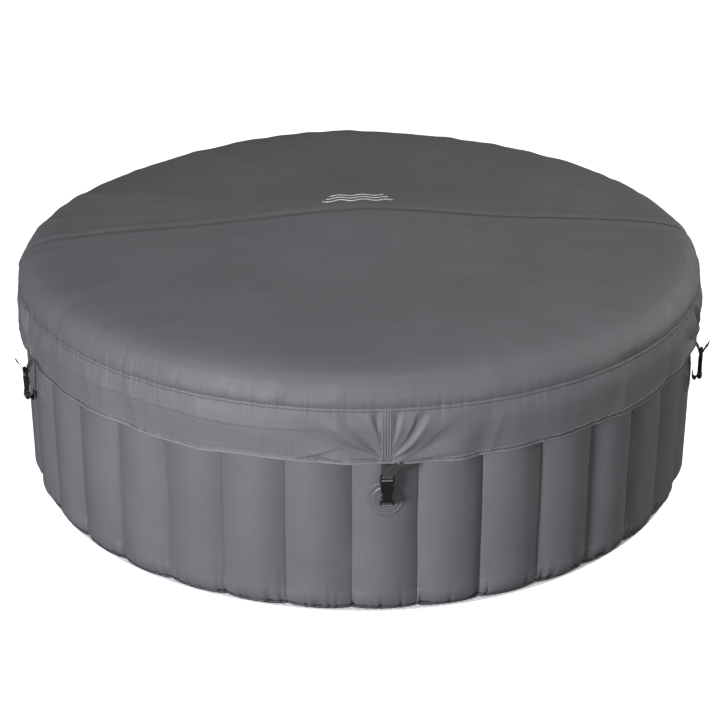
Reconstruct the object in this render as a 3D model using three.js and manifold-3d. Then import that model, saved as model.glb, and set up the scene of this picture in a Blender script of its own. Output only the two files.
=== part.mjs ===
// Round inflatable hot tub with its buckled cover, insulating ground mat and heater unit.
// Millimetres, +Z up. The origin is the centre of the ground mat's underside.
// Places round the tub are angles in degrees: 0 is the front (-Y), 90 the right (+X), 180 the back.
import * as THREE from 'three';
import { mergeVertices } from 'three/addons/utils/BufferGeometryUtils.js';
import Module from 'manifold-3d';

const wasm = await Module();
wasm.setup();

// ---- driving dimensions ----
const SKIN = 1.5; // thickness of the welded PVC and of the cover's cloth
const GAP = 0.4; // clearance left between pieces that touch
const RIBS = 35; // air cells round the wall, seven to a tie-down
const RIB_ANGLE = 360 / RIBS;

const MAT_R = 985;
const MAT_THICK = 4;
const BASE_R = 972; // welded lip at the foot of the wall
const BASE_Z = MAT_THICK + GAP;
const FOOT_Z = BASE_Z + SKIN + GAP; // where both walls start
const SEAM_Z = 640; // where both walls meet the top ring
const RIM_TOP = 698;
const WALL_R = 1000; // crest of an outer rib
const SEAM_R = 984; // outer wall at the top ring
const INNER_R = 788; // crest of an inner rib
const GROOVE_R = 800; // groove between two inner ribs
const WEB_R = 950; // outer edge of the webs between air cells
const INNER_SEAM_R = 790;

const COVER_APEX = 780;
const CROWN_R = 915; // where the domed top turns down over the rim
const CROWN_Z = 705;
const COVER_R = 1013.5; // sewn edge of the top panels
const COVER_SEAM_Z = 628.5;
const HEM_R = 1010.5;
const HEM_Z = 470;
const HEM_CORD_R = 3;
const SKIRT_SIDES = 50; // puts a corner of the skirt at every tie-down
const BLADDER_R = 860;

const PORT_Z = 110; // height of the water and air ports
const PORT_X = 87; // each water port's distance from the unit's centre line
const PORT_COLLAR_R = 38;
const AIR_COLLAR_R = 28;
const UNIT_ANGLE = 17.5 * RIB_ANGLE; // the unit stands over the groove at the back
const AIR_VALVE = { angle: 20 * RIB_ANGLE, z: 300, collar: 26 };
const DRAIN = { angle: 16 * RIB_ANGLE, z: 62, collar: 30 };
const STATIONS = { front: 0, right: 72, back_right: 144, back_left: 216, left: 288 };

const PVC = { color: 0x6f7074, roughness: 0.55 };
const CLOTH = { color: 0x626367, roughness: 0.7 };
const BLACK = { color: 0x141414, roughness: 0.45 };
const WEBBING = { color: 0x1c1c1c, roughness: 0.9 };
const CASE_GREY = { color: 0x3c3e42, roughness: 0.5 };
const LIGHT_GREY = { color: 0xb9bbbd, roughness: 0.5 };
const STEEL = { color: 0xb4b6b8, roughness: 0.3, metalness: 1 };

const radians = THREE.MathUtils.degToRad;

// ---- closed solids, cuts and joins ----
function solid(geometry) {
  const flat = geometry.index ? geometry.toNonIndexed() : geometry;
  const bare = new THREE.BufferGeometry();
  bare.setAttribute('position', flat.getAttribute('position'));
  const merged = mergeVertices(bare, 1e-4);
  const index = merged.index.array;
  const kept = [];
  for (let i = 0; i < index.length; i += 3) {
    const [a, b, c] = [index[i], index[i + 1], index[i + 2]];
    if (a !== b && b !== c && a !== c) kept.push(a, b, c);
  }
  const vertProperties = merged.getAttribute('position').array;
  const make = (triVerts) => new wasm.Manifold(new wasm.Mesh({ numProp: 3, vertProperties, triVerts }));
  const made = make(Uint32Array.from(kept));
  return made.volume() > 0 ? made : make(Uint32Array.from(kept.reverse()));
}

const join = (first, ...rest) => rest.reduce((sum, next) => sum.add(next), first);
const cut = (first, ...rest) => rest.reduce((left, next) => left.subtract(next), first);

function part(name, shape, look) {
  const mesh = shape.getMesh();
  const geometry = new THREE.BufferGeometry();
  const points = new Float32Array(mesh.numVert * 3);
  for (let i = 0; i < mesh.numVert; i++) {
    points.set(mesh.vertProperties.subarray(i * mesh.numProp, i * mesh.numProp + 3), i * 3);
  }
  geometry.setAttribute('position', new THREE.BufferAttribute(points, 3));
  geometry.setIndex(new THREE.BufferAttribute(mesh.triVerts, 1));
  const flat = geometry.toNonIndexed();
  flat.computeVertexNormals();
  const made = new THREE.Mesh(flat, new THREE.MeshStandardMaterial(look));
  made.name = name;
  return made;
}

function at(angle, ...children) {
  const group = new THREE.Group();
  group.rotation.z = radians(angle);
  group.add(...children);
  return group;
}

// ---- plain shapes, upright (Z) unless said otherwise ----
function lathe(profile, segments, start = 0) {
  const points = profile.map(([r, z]) => new THREE.Vector2(r, z));
  const onAxis = profile[0][0] === 0 && profile.at(-1)[0] === 0;
  if (!onAxis) points.push(points[0].clone());
  const geometry = new THREE.LatheGeometry(points, segments, radians(start));
  return geometry.rotateX(Math.PI / 2);
}

function box(x0, x1, y0, y1, z0, z1) {
  const geometry = new THREE.BoxGeometry(x1 - x0, y1 - y0, z1 - z0);
  return solid(geometry.translate((x0 + x1) / 2, (y0 + y1) / 2, (z0 + z1) / 2));
}

// A cylinder along Y, which is the way out through the wall at the front.
function rodY(radius, x, z, y0, y1, sides = 12) {
  const geometry = new THREE.CylinderGeometry(radius, radius, y1 - y0, sides);
  return solid(geometry.translate(x, (y0 + y1) / 2, z));
}

function rodZ(radius, x, y, z0, z1, sides = 12) {
  const geometry = new THREE.CylinderGeometry(radius, radius, z1 - z0, sides).rotateX(Math.PI / 2);
  return solid(geometry.translate(x, y, (z0 + z1) / 2));
}

function rodX(radius, y, z, x0, x1, sides = 12) {
  const geometry = new THREE.CylinderGeometry(radius, radius, x1 - x0, sides).rotateZ(Math.PI / 2);
  return solid(geometry.translate((x0 + x1) / 2, y, z));
}

const tubeY = (out, bore, x, z, y0, y1, sides) =>
  cut(rodY(out, x, z, y0, y1, sides), rodY(bore, x, z, y0 - 1, y1 + 1, sides));

function outline(points) {
  const shape = new THREE.Shape();
  points.forEach(([x, y], i) => (i ? shape.lineTo(x, y) : shape.moveTo(x, y)));
  shape.closePath();
  return shape;
}

const mirrored = (half) => [...half, ...half.map(([x, z]) => [-x, z]).reverse()];

// An outline in X and Z, given thickness from y0 outwards to y1.
function plateY(points, y0, y1, slots = []) {
  const shape = outline(points);
  slots.forEach(([x, z0, z1]) => shape.holes.push(outline([[-x, z0], [x, z0], [x, z1], [-x, z1]])));
  const geometry = new THREE.ExtrudeGeometry(shape, { depth: y1 - y0, bevelEnabled: false });
  return solid(geometry.rotateX(Math.PI / 2).translate(0, y1, 0));
}

// A flat strap of one width in X, following [y, z] points.
function ribbon(points, thickness, width) {
  const line = points.map(([y, z]) => new THREE.Vector2(y, z));
  const side = (sign) =>
    line.map((p, i) => {
      const before = line[Math.max(i - 1, 0)];
      const after = line[Math.min(i + 1, line.length - 1)];
      const along = after.clone().sub(before).normalize();
      return [p.x - along.y * sign * thickness / 2, p.y + along.x * sign * thickness / 2];
    });
  const shape = outline([...side(1), ...side(-1).reverse()]);
  const geometry = new THREE.ExtrudeGeometry(shape, { depth: width, bevelEnabled: false });
  const [x, y, z] = [new THREE.Vector3(1, 0, 0), new THREE.Vector3(0, 1, 0), new THREE.Vector3(0, 0, 1)];
  geometry.applyMatrix4(new THREE.Matrix4().makeBasis(y, z, x));
  return solid(geometry.translate(-width / 2, 0, 0));
}

// A rounded rectangle in X and Y, given height from z0 to z1.
function roundedBlock(x0, x1, y0, y1, z0, z1, corner) {
  const shape = new THREE.Shape();
  const turn = (x, y, from) => shape.absarc(x, y, corner, radians(from), radians(from + 90), false);
  turn(x1 - corner, y1 - corner, 0);
  turn(x0 + corner, y1 - corner, 90);
  turn(x0 + corner, y0 + corner, 180);
  turn(x1 - corner, y0 + corner, 270);
  const options = { depth: z1 - z0, bevelEnabled: false, curveSegments: 3 };
  return solid(new THREE.ExtrudeGeometry(shape, options).translate(0, 0, z0));
}

// ---- the ribbed air wall ----
// Pulls a lathed wall in between its crests.
function rib(geometry, depthAt) {
  const points = geometry.getAttribute('position');
  for (let i = 0; i < points.count; i++) {
    const [x, y, z] = [points.getX(i), points.getY(i), points.getZ(i)];
    const radius = Math.hypot(x, y);
    if (radius < 1) continue;
    const degrees = THREE.MathUtils.radToDeg(Math.atan2(x, -y));
    const turns = degrees / RIB_ANGLE;
    const offCrest = 2 * Math.abs(turns - Math.round(turns));
    const scale = (radius - depthAt(z) * offCrest ** 2) / radius;
    points.setXY(i, x * scale, y * scale);
  }
  return geometry;
}

const OUTER_CRESTS = [[FOOT_Z, 964], [50, 996], [560, WALL_R], [SEAM_Z, SEAM_R]];
const OUTER_DEPTHS = [[FOOT_Z, 8], [50, 23], [560, 24], [SEAM_Z, 4]];

function valueAt(table, z) {
  const next = table.findIndex(([height]) => height >= z);
  if (next <= 0) return table.at(next)[1];
  const [z0, v0] = table[next - 1];
  const [z1, v1] = table[next];
  return v0 + ((v1 - v0) * (z - z0)) / (z1 - z0);
}

// A skin between two offsets from the outer wall's surface.
function outerSkin(from, to, z0 = FOOT_Z, z1 = SEAM_Z) {
  const heights = OUTER_CRESTS.map(([z]) => z).filter((z) => z > z0 && z < z1);
  const drum = (offset, past) => {
    const rows = [z0, ...heights, z1].map((z) => [valueAt(OUTER_CRESTS, z) + offset, z]);
    const ends = [[rows[0][0], z0 - past], [rows.at(-1)[0], z1 + past]];
    const side = past ? [ends[0], ...rows, ends[1]] : rows;
    const profile = [[0, z0 - past], ...side, [0, z1 + past]];
    return solid(rib(lathe(profile, RIBS * 3, RIB_ANGLE / 2), (z) => valueAt(OUTER_DEPTHS, z)));
  };
  return cut(drum(to, 0), drum(from, 1));
}

// An upright band with one point list for its outside and one for its inside, repeated at every rib.
function ribbedBand(outsideAt, insideAt) {
  const ring = (pointsAt) => Array.from({ length: RIBS }, (_, i) => pointsAt(i * RIB_ANGLE)).flat();
  const shape = outline(ring(outsideAt));
  shape.holes.push(outline(ring(insideAt).reverse()));
  const geometry = new THREE.ExtrudeGeometry(shape, { depth: SEAM_Z - FOOT_Z, bevelEnabled: false });
  return solid(geometry.translate(0, 0, FOOT_Z));
}

// A point in X and Y; degrees run clockwise from the front, seen from above.
function polar(radius, degrees, aside = 0) {
  const [s, c] = [Math.sin(radians(degrees)), Math.cos(radians(degrees))];
  return [-radius * s - aside * c, aside * s - radius * c];
}

function innerWall() {
  const side = (offset) => (crest) =>
    [polar(INNER_R + offset, crest), polar(GROOVE_R + offset, crest + RIB_ANGLE / 2)];
  return ribbedBand(side(SKIN), side(0));
}

// The webs between air cells, which hold the two walls together, on the strip they are welded to.
function chamberWebs() {
  const inside = GROOVE_R + SKIN + GAP;
  const webbed = (crest) => {
    const angle = crest + RIB_ANGLE / 2;
    const edge = (radius, side) => polar(radius, angle, side * SKIN / 2);
    return [edge(inside + SKIN, -1), edge(WEB_R, -1), edge(WEB_R, 1), edge(inside + SKIN, 1)];
  };
  return ribbedBand(webbed, (crest) => [polar(inside, crest + RIB_ANGLE / 2)]);
}

function arch(rise, halfWidth, steps) {
  const middle = (SEAM_R + INNER_SEAM_R) / 2;
  return Array.from({ length: steps + 1 }, (_, i) => {
    const turn = (Math.PI * i) / steps;
    return [middle + halfWidth * Math.cos(turn), SEAM_Z + GAP + rise * Math.sin(turn)];
  });
}

function topRing() {
  const rise = RIM_TOP - SEAM_Z - GAP;
  const halfWidth = (SEAM_R - INNER_SEAM_R) / 2;
  const outside = arch(rise, halfWidth, 5);
  const inside = arch(rise - SKIN, halfWidth - SKIN, 5).reverse();
  return solid(lathe([...outside, ...inside], 36));
}

// Holes through the wall for every fitting, as cylinders placed round the tub.
function wallHoles(y0, y1) {
  const turned = (rod, angle) => rod.rotate([0, 0, angle]);
  return [
    turned(rodY(PORT_COLLAR_R + GAP, PORT_X, PORT_Z, y0, y1), UNIT_ANGLE),
    turned(rodY(PORT_COLLAR_R + GAP, -PORT_X, PORT_Z, y0, y1), UNIT_ANGLE),
    turned(rodY(AIR_COLLAR_R + GAP, 0, PORT_Z, y0, y1), UNIT_ANGLE),
    turned(rodY(DRAIN.collar + GAP, 0, DRAIN.z, y0, y1), DRAIN.angle),
  ];
}

const BUBBLE_R = 745;
const JETS = 16;

function bubbleRing() {
  const foot = BASE_Z + SKIN + GAP;
  const hump = (width, top, base) => [
    [BUBBLE_R - width, base], [BUBBLE_R + width, base], [BUBBLE_R + width * 0.8, base + top * 0.7],
    [BUBBLE_R, base + top], [BUBBLE_R - width * 0.8, base + top * 0.7],
  ];
  const shell = cut(solid(lathe(hump(25, 24, foot), 32)), solid(lathe(hump(21, 20, foot + 2), 32)));
  const jets = Array.from({ length: JETS }, (_, i) =>
    rodZ(2.5, 0, -BUBBLE_R, foot + 12, foot + 30, 6).rotate([0, 0, (i + 0.5) * 360 / JETS]));
  return cut(shell, ...jets);
}

function tub() {
  const mat = lathe([[0, 0], [MAT_R, 0], [MAT_R, MAT_THICK], [0, MAT_THICK]], 72);
  const sheet = lathe([[0, BASE_Z], [BASE_R, BASE_Z], [BASE_R, BASE_Z + SKIN], [0, BASE_Z + SKIN]],
    RIBS * 2, RIB_ANGLE / 2);
  const valveHole = rodY(AIR_VALVE.collar + GAP, 0, AIR_VALVE.z, -1020, -960)
    .rotate([0, 0, AIR_VALVE.angle]);
  const group = new THREE.Group();
  group.add(
    part('ground_mat', solid(mat), LIGHT_GREY),
    part('base_sheet', solid(rib(sheet, () => 10)), PVC),
    part('outer_wall', cut(outerSkin(-SKIN, 0), ...wallHoles(-1030, -940), valveHole), PVC),
    part('inner_wall', cut(innerWall(), ...wallHoles(-1030, -740)), PVC),
    part('chamber_webs', cut(chamberWebs(), ...wallHoles(-1030, -740)), PVC),
    part('top_ring', topRing(), PVC),
    part('bubble_ring', bubbleRing(), PVC),
  );
  return group;
}

// ---- the cover and the air bladder under it ----
function crownHeight(r) {
  return COVER_APEX - (COVER_APEX - CROWN_Z) * (r / CROWN_R) ** 2.5;
}

function coverTop() {
  const crown = [0, 300, 550, 750, CROWN_R].map((r) => [r, crownHeight(r)]);
  const shoulder = [30, 60, 90].map((degrees) => [
    CROWN_R + (COVER_R - CROWN_R) * Math.sin(radians(degrees)),
    COVER_SEAM_Z + (CROWN_Z - COVER_SEAM_Z) * Math.cos(radians(degrees)),
  ]);
  const outside = [...crown, ...shoulder];
  const inside = outside.map(([r, z]) => [Math.max(0, r - (r > CROWN_R ? SKIN : 0)), z - SKIN]);
  inside[inside.length - 1] = [COVER_R - SKIN, COVER_SEAM_Z];
  return solid(lathe([...outside, ...inside.reverse()], 36));
}

function coverSkirt() {
  const top = COVER_SEAM_Z - GAP;
  const profile = [[COVER_R, top], [HEM_R, HEM_Z], [HEM_R - SKIN, HEM_Z], [COVER_R - SKIN, top]];
  const hem = new THREE.TorusGeometry(HEM_R + 0.6, HEM_CORD_R, 4, SKIRT_SIDES).rotateZ(Math.PI / 2);
  return join(solid(lathe(profile, SKIRT_SIDES)), solid(hem.translate(0, 0, HEM_Z - 1)));
}

const under = (r) => 655 + 40 * (r / 830) ** 2;

function bladder() {
  const over = (r) => crownHeight(r) - SKIN - 2;
  const profile = [
    [0, under(0)], [300, under(300)], [600, under(600)], [825, under(825)], [BLADDER_R, 702],
    [845, 710], [750, over(750)], [550, over(550)], [300, over(300)], [0, over(0)],
  ];
  const inside = profile.map(([radius, z], i) => {
    const lower = i < profile.length / 2 - 1;
    return [Math.max(0, radius - (radius > 800 ? 4 : 0)), lower ? z + SKIN : z - SKIN];
  });
  inside[4] = [BLADDER_R - 6, 701.9];
  return cut(solid(lathe(profile, 36)), solid(lathe(inside, 36)), rodZ(15.4, 0, 250, 640, 680));
}

function cover() {
  const top = coverTop();
  const reach = 1100;
  const front = cut(top, box(-reach, reach, -GAP / 2, reach, 600, 800));
  const rear = cut(top, box(-reach, reach, -reach, GAP / 2, 600, 800));
  const valve = join(rodZ(24, 0, 250, under(250) - 9, under(250) - 3),
    rodZ(14.5, 0, 250, under(250) - 3.1, under(250) + 8),
    rodZ(15, 0, 250, under(250) - 17, under(250) - 8.9));
  const group = new THREE.Group();
  group.add(
    part('cover_top_front', front, CLOTH),
    part('cover_top_rear', rear, CLOTH),
    part('cover_skirt', coverSkirt(), CLOTH),
    part('lid_bladder', bladder(), PVC),
    part('lid_bladder_valve', valve, BLACK),
  );
  return group;
}

// ---- tie-downs: patch, anchor loop, strap and side-release buckle ----
const ANCHOR_Z = 352;
const STRAP_WIDTH = 30;
const BUCKLE = { near: -1018.5, far: -1029.5, middle: -1024 };

// The round patch welded to the wall, with its bar and the webbing loop that holds the buckle.
function anchor() {
  const disc = (radius, thick) =>
    outerSkin(GAP, thick, 290, 415).intersect(rodY(radius, 0, ANCHOR_Z, -1030, -960));
  const ears = [-1, 1].map((side) => {
    const x = 20.2 * side;
    return box(x - 1.8, x + 1.8, -1013, -997.5, ANCHOR_Z - 5, ANCHOR_Z + 6);
  });
  const loop = [
    [-996.8, 374], [-1001, 366], [-1004.4, 354], [-1007, 346], [-1012, 343], [-1016, 347], [-1017, 354],
    [-1017.4, 358.2], [-1025, 358.6], [-1029.5, 358], [-1031.2, 354.5], [-1030.4, 350], [-1027.5, 348.2],
    [-1022, 348.2],
  ];
  const bar = rodX(2.6, -1010, ANCHOR_Z + 0.5, -21, 21, 10);
  return join(disc(47, 1.6), disc(35, 2.8), ...ears, bar, ribbon(loop, SKIN, STRAP_WIDTH));
}

function buckleFemale() {
  const half = [[13, 412], [17, 409], [16, 396], [11.5, 383], [12, 372], [19, 363], [18.5, 353], [16, 351]];
  const body = plateY(mirrored(half), BUCKLE.far, BUCKLE.near, [[15.7, 356, 361]]);
  return cut(body, box(-13.5, 13.5, BUCKLE.middle - 2.6, BUCKLE.middle + 2.6, 380, 413));
}

function buckleMale() {
  const half = [[17.5, 437], [19, 434], [19, 416], [17.5, 413.2]];
  const bars = [[15.7, 417.5, 421.5], [15.7, 427, 431.4]];
  const frame = plateY(mirrored(half), BUCKLE.far + 1, BUCKLE.near - 1, bars);
  const y0 = BUCKLE.middle - 2.1;
  const y1 = BUCKLE.middle + 2.1;
  const prongs = [-1, 1].map((side) => join(
    box(Math.min(8.6 * side, 11.4 * side), Math.max(8.6 * side, 11.4 * side), y0, y1, 384, 413.6),
    box(Math.min(8.6 * side, 13 * side), Math.max(8.6 * side, 13 * side), y0, y1, 383, 393)));
  return join(frame, ...prongs, box(-3, 3, y0, y1, 388, 413.6));
}

function strap() {
  const sewn = box(-STRAP_WIDTH / 2, STRAP_WIDTH / 2, -1006.4, -1004.9, 464, 560);
  const path = [
    [-1005.65, 470], [-1005.65, 464], [-1007, 457], [-1013, 447], [-1017, 440], [-1017.6, 434],
    [-1018.2, 430], [-1024, 429.2], [-1029.4, 429.4], [-1032, 434], [-1037, 446], [-1045, 462], [-1053, 477],
  ];
  return join(sewn, ribbon(path, SKIN, STRAP_WIDTH));
}

function tieDowns() {
  const group = new THREE.Group();
  Object.entries(STATIONS).forEach(([place, angle]) => {
    group.add(at(angle,
      part(`anchor_patch_${place}`, anchor(), PVC),
      part(`buckle_female_${place}`, buckleFemale(), BLACK),
      part(`buckle_male_${place}`, buckleMale(), BLACK),
      part(`strap_${place}`, strap(), WEBBING)));
  });
  return group;
}

// ---- valves and ports in the wall ----
function airValve() {
  const { z, collar } = AIR_VALVE;
  const seat = join(rodY(collar, 0, z, -1006, -975), rodY(16, 0, z, -1014, -1005));
  const body = cut(seat, rodY(11, 0, z, -1020, -970));
  const stem = join(rodY(4, 0, z, -1009, -984, 10), rodY(10, 0, z, -984.9, -980));
  const guide = join(rodY(10, 0, z, -998, -995, 12), box(-11.5, 11.5, -998, -995, z - 2, z + 2),
    box(-2, 2, -998, -995, z - 11.5, z + 11.5));
  const seated = join(body, cut(guide, rodY(4.5, 0, z, -1000, -990, 10)));
  const cap = cut(join(rodY(20, 0, z, -1022, -1006.6), box(-2, 2, -1026, -1021.9, z - 17, z + 17)),
    rodY(16.5, 0, z, -1019, -1000));
  return at(AIR_VALVE.angle,
    part('air_valve_body', seated, BLACK),
    part('air_valve_stem', stem, BLACK),
    part('air_valve_cap', cap, BLACK));
}

function drain() {
  const { z, collar } = DRAIN;
  const tube = join(rodY(collar, 0, z, -1002, -775), rodY(22, 0, z, -1020, -1001));
  const body = cut(tube, rodY(17, 0, z, -1030, -760));
  const lugs = [0, 60, 120].map((degrees) => {
    const lug = box(-31, 31, -1030, -1002.8, -3, 3);
    return lug.rotate([0, degrees, 0]).translate([0, 0, z]);
  });
  const cap = cut(join(rodY(28, 0, z, -1030, -1002.8), ...lugs), rodY(22.5, 0, z, -1025, -1000));
  return at(DRAIN.angle, part('drain_body', body, CASE_GREY), part('drain_cap', cap, CASE_GREY));
}

function waterFitting(x) {
  return cut(join(
    rodY(PORT_COLLAR_R, x, PORT_Z, -1008, -978),
    rodY(PORT_COLLAR_R, x, PORT_Z, -800, -774),
    rodY(21, x, PORT_Z, -1078, -773.9),
  ), rodY(17, x, PORT_Z, -1100, -700));
}

function airFitting() {
  const pipe = join(
    rodY(AIR_COLLAR_R, 0, PORT_Z, -990, -960),
    rodY(AIR_COLLAR_R, 0, PORT_Z, -804, -776),
    rodY(14, 0, PORT_Z, -1078, -740),
    rodZ(12, 0, -BUBBLE_R, 31.2, PORT_Z));
  return cut(pipe, rodY(10, 0, PORT_Z, -1100, -745), rodZ(8.5, 0, -BUBBLE_R, 20, PORT_Z));
}

function filter() {
  const x = PORT_X;
  const housing = cut(
    join(rodY(62, x, PORT_Z, -773.4, -690, 18), rodY(66, x, PORT_Z, -699, -693, 18)),
    rodY(58, x, PORT_Z, -767, -680, 18), rodY(17, x, PORT_Z, -780, -760));
  const cartridge = tubeY(52, 20, x, PORT_Z, -762, -698, 18);
  const ribs = [0, 45, 90, 135].map((degrees) =>
    box(-60, 60, -683, -679, -3, 3).rotate([0, degrees, 0]).translate([x, 0, PORT_Z]));
  const disc = join(rodY(66, x, PORT_Z, -689.4, -682.9, 18), ...ribs);
  const slots = [0, 60, 120, 180, 240, 300].map((degrees) =>
    rodY(9, 0, 38, -700, -670, 10).rotate([0, degrees + 22, 0]).translate([x, 0, PORT_Z]));
  return [
    part('filter_housing', housing, LIGHT_GREY),
    part('filter_cartridge', cartridge, LIGHT_GREY),
    part('filter_cap', cut(disc, ...slots), LIGHT_GREY),
  ];
}

// ---- heater, pump and blower unit, standing on the ground by the wall ----
const UNIT = { x0: -200, x1: 200, far: -1370, near: -1072, top: 392, split: 70, wall: 4 };
const BUTTONS = ['power', 'heat', 'filter', 'bubble'];
const PANEL_Y = -1290;

function unitBase() {
  const { x0, x1, far, near, split, wall } = UNIT;
  const tray = cut(
    roundedBlock(x0, x1, far, near, 8, split, 40),
    roundedBlock(x0 + wall, x1 - wall, far + wall, near - wall, 8 + wall, split + 5, 36));
  const feet = [x0 + 45, x1 - 45].flatMap((x) =>
    [far + 45, near - 45].map((y) => rodZ(18, x, y, 0, 9, 12)));
  return join(tray, ...feet);
}

function unitShell() {
  const { x0, x1, far, near, top, split, wall } = UNIT;
  const taper = (z0, z1, inset) =>
    roundedBlock(x0 + inset, x1 - inset, far + inset, near - inset, z0, z1, 40 - inset / 2);
  const outside = join(
    taper(split + GAP, top - 12, 0),
    taper(top - 12.1, top - 5, 5),
    taper(top - 5.1, top, 14));
  const inside = join(taper(split - 5, top - 16, wall), taper(top - 17, top - 8, 5 + wall));
  const vents = Array.from({ length: 5 }, (_, i) =>
    box(x0 - 5, x0 + 15, -1290, -1150, 120 + i * 22, 128 + i * 22));
  const ports = [
    rodY(26, PORT_X, PORT_Z, near - 10, near + 10), rodY(26, -PORT_X, PORT_Z, near - 10, near + 10),
    rodY(16, 0, PORT_Z, near - 10, near + 10), rodX(8.5, -1150, 110, x1 - 10, x1 + 10, 12),
  ];
  const panelHole = box(-70, 70, PANEL_Y - 35, PANEL_Y + 35, top - 20, top + 5);
  return join(cut(outside, inside, ...vents, ...ports, panelHole), ...handleLugs());
}

function panel() {
  const { top } = UNIT;
  const plate = join(
    roundedBlock(-80, 80, PANEL_Y - 45, PANEL_Y + 45, top + GAP, top + 4, 12),
    roundedBlock(-69, 69, PANEL_Y - 34, PANEL_Y + 34, top - 8, top + 0.5, 6));
  const wells = BUTTONS.map((_, i) => rodZ(9, -48 + i * 32, PANEL_Y - 18, top - 20, top + 20));
  return cut(plate, ...wells, box(-45, 45, PANEL_Y + 4, PANEL_Y + 28, top + 2, top + 10));
}

function buttonPiece(i) {
  const { top } = UNIT;
  const x = -48 + i * 32;
  return join(rodZ(8.4, x, PANEL_Y - 18, top - 9, top + 5.5),
    rodZ(10.5, x, PANEL_Y - 18, top - 13, top - 8.9));
}

const HANDLE = { y: UNIT.far - 12, z: 330 };

function handleLugs() {
  const { y, z } = HANDLE;
  return [-78, 78].map((x) =>
    cut(box(x - 5, x + 5, UNIT.far - 20, UNIT.far + 1, z - 8, z + 8), rodX(3.4, y, z, x - 20, x + 20, 12)));
}

function handle() {
  const { y, z } = HANDLE;
  const pins = cut(rodX(3, y, z, -86, 86, 10), box(-69, 69, y - 8, y + 8, z - 8, z + 8));
  const arms = [-68, 68].map((x) => box(x - 4, x + 4, y - 4, y + 4, z - 62, z + 6));
  return join(pins, ...arms, rodX(8, y - 4, z - 62, -72, 72, 14));
}

function unitInside() {
  const heater = join(rodX(30, -1150, 200, -150, 40), rodX(18, -1150, 200, -165, 52));
  const volute = cut(join(rodZ(52, 95, -1170, 60, 102), rodZ(38, 95, -1170, 101.9, 190),
    box(70, 120, -1230, -1110, 14, 60.1)), rodZ(44, 95, -1170, 66, 96),
    rodX(12, -1170, 81, 130, 160), rodY(12, 95, 81, -1130, -1100));
  const blades = [0, 60, 120].map((degrees) =>
    box(-38, 38, -1.5, 1.5, 78, 92).rotate([0, 0, degrees]).translate([95, -1170, 0]));
  const impeller = join(rodZ(38, 95, -1170, 72, 78.1), rodZ(10, 95, -1170, 70, 93, 12), ...blades);
  const blower = cut(join(rodY(62, -110, 96, -1290, -1220), box(-150, -70, -1290, -1220, 14, 60)),
    rodY(54, -110, 96, -1283, -1228), rodY(22, -110, 96, -1300, -1280));
  const fanBlades = [0, 45, 90, 135].map((degrees) =>
    box(-46, 46, -1276, -1240, -1.5, 1.5).rotate([0, degrees, 0]).translate([-110, 0, 96]));
  const fan = join(rodY(12, -110, 96, -1280, -1232, 12), ...fanBlades);
  const board = box(-60, 60, -1336, -1334, 200, 340);
  return { heater, volute, impeller, blower, fan, board };
}

function unionNut(x) {
  const grips = [0, 30, 60, 90, 120, 150].map((degrees) =>
    box(-33, 33, -1060, -1036, -4, 4).rotate([0, degrees, 0]).translate([x, 0, PORT_Z]));
  const ring = join(rodY(30, x, PORT_Z, -1062, -1034), ...grips);
  return cut(ring, rodY(21.6, x, PORT_Z, -1080, -1020));
}

function unit() {
  const inside = unitInside();
  const glandPiece = (radius, from, to) => rodX(radius, -1150, 110, UNIT.x1 + from, UNIT.x1 + to, 14);
  const gland = cut(join(glandPiece(8, -12, 20), glandPiece(14, GAP, 10)), glandPiece(4, -20, 30));
  return at(UNIT_ANGLE,
    part('suction_fitting', waterFitting(PORT_X), LIGHT_GREY),
    part('return_fitting', waterFitting(-PORT_X), LIGHT_GREY),
    part('air_fitting', airFitting(), LIGHT_GREY),
    ...filter(),
    part('union_nut_suction', unionNut(PORT_X), CASE_GREY),
    part('union_nut_return', unionNut(-PORT_X), CASE_GREY),
    part('unit_base', unitBase(), CASE_GREY),
    part('unit_shell', unitShell(), CASE_GREY),
    part('unit_panel', panel(), LIGHT_GREY),
    ...BUTTONS.map((name, i) => part(`button_${name}`, buttonPiece(i), LIGHT_GREY)),
    part('unit_handle', handle(), CASE_GREY),
    part('heater', inside.heater, STEEL),
    part('pump_body', inside.volute, BLACK),
    part('pump_impeller', inside.impeller, LIGHT_GREY),
    part('blower_body', inside.blower, BLACK),
    part('blower_fan', inside.fan, LIGHT_GREY),
    part('circuit_board', inside.board, { color: 0x1f5a35, roughness: 0.6 }),
    part('cord_gland', gland, BLACK));
}

const hotTub = new THREE.Group();
hotTub.add(tub(), cover(), tieDowns(), airValve(), drain(), unit());

export default hotTub;
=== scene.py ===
"""Looks for the inflatable hot tub: ribbed PVC wall, buckled fabric cover, tie-downs and heater unit.

Metres, +Z up, front at -Y. Angles round the tub are in degrees: 0 is the front, 90 is +X, 180 the back.
"""

import math

import bpy
import numpy as np
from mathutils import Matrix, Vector


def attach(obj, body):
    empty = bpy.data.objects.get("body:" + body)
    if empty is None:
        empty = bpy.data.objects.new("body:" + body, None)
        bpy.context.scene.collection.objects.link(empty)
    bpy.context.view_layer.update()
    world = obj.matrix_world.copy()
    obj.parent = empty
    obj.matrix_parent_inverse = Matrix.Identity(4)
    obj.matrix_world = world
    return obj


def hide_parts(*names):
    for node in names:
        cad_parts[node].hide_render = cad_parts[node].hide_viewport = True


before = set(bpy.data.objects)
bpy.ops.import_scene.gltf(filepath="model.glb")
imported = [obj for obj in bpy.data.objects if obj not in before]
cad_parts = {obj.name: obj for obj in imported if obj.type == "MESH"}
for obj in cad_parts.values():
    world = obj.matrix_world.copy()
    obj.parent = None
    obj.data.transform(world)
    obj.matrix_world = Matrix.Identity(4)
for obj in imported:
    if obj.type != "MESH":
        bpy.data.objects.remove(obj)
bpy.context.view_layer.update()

MM = 0.001
RIBS = 35
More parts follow.
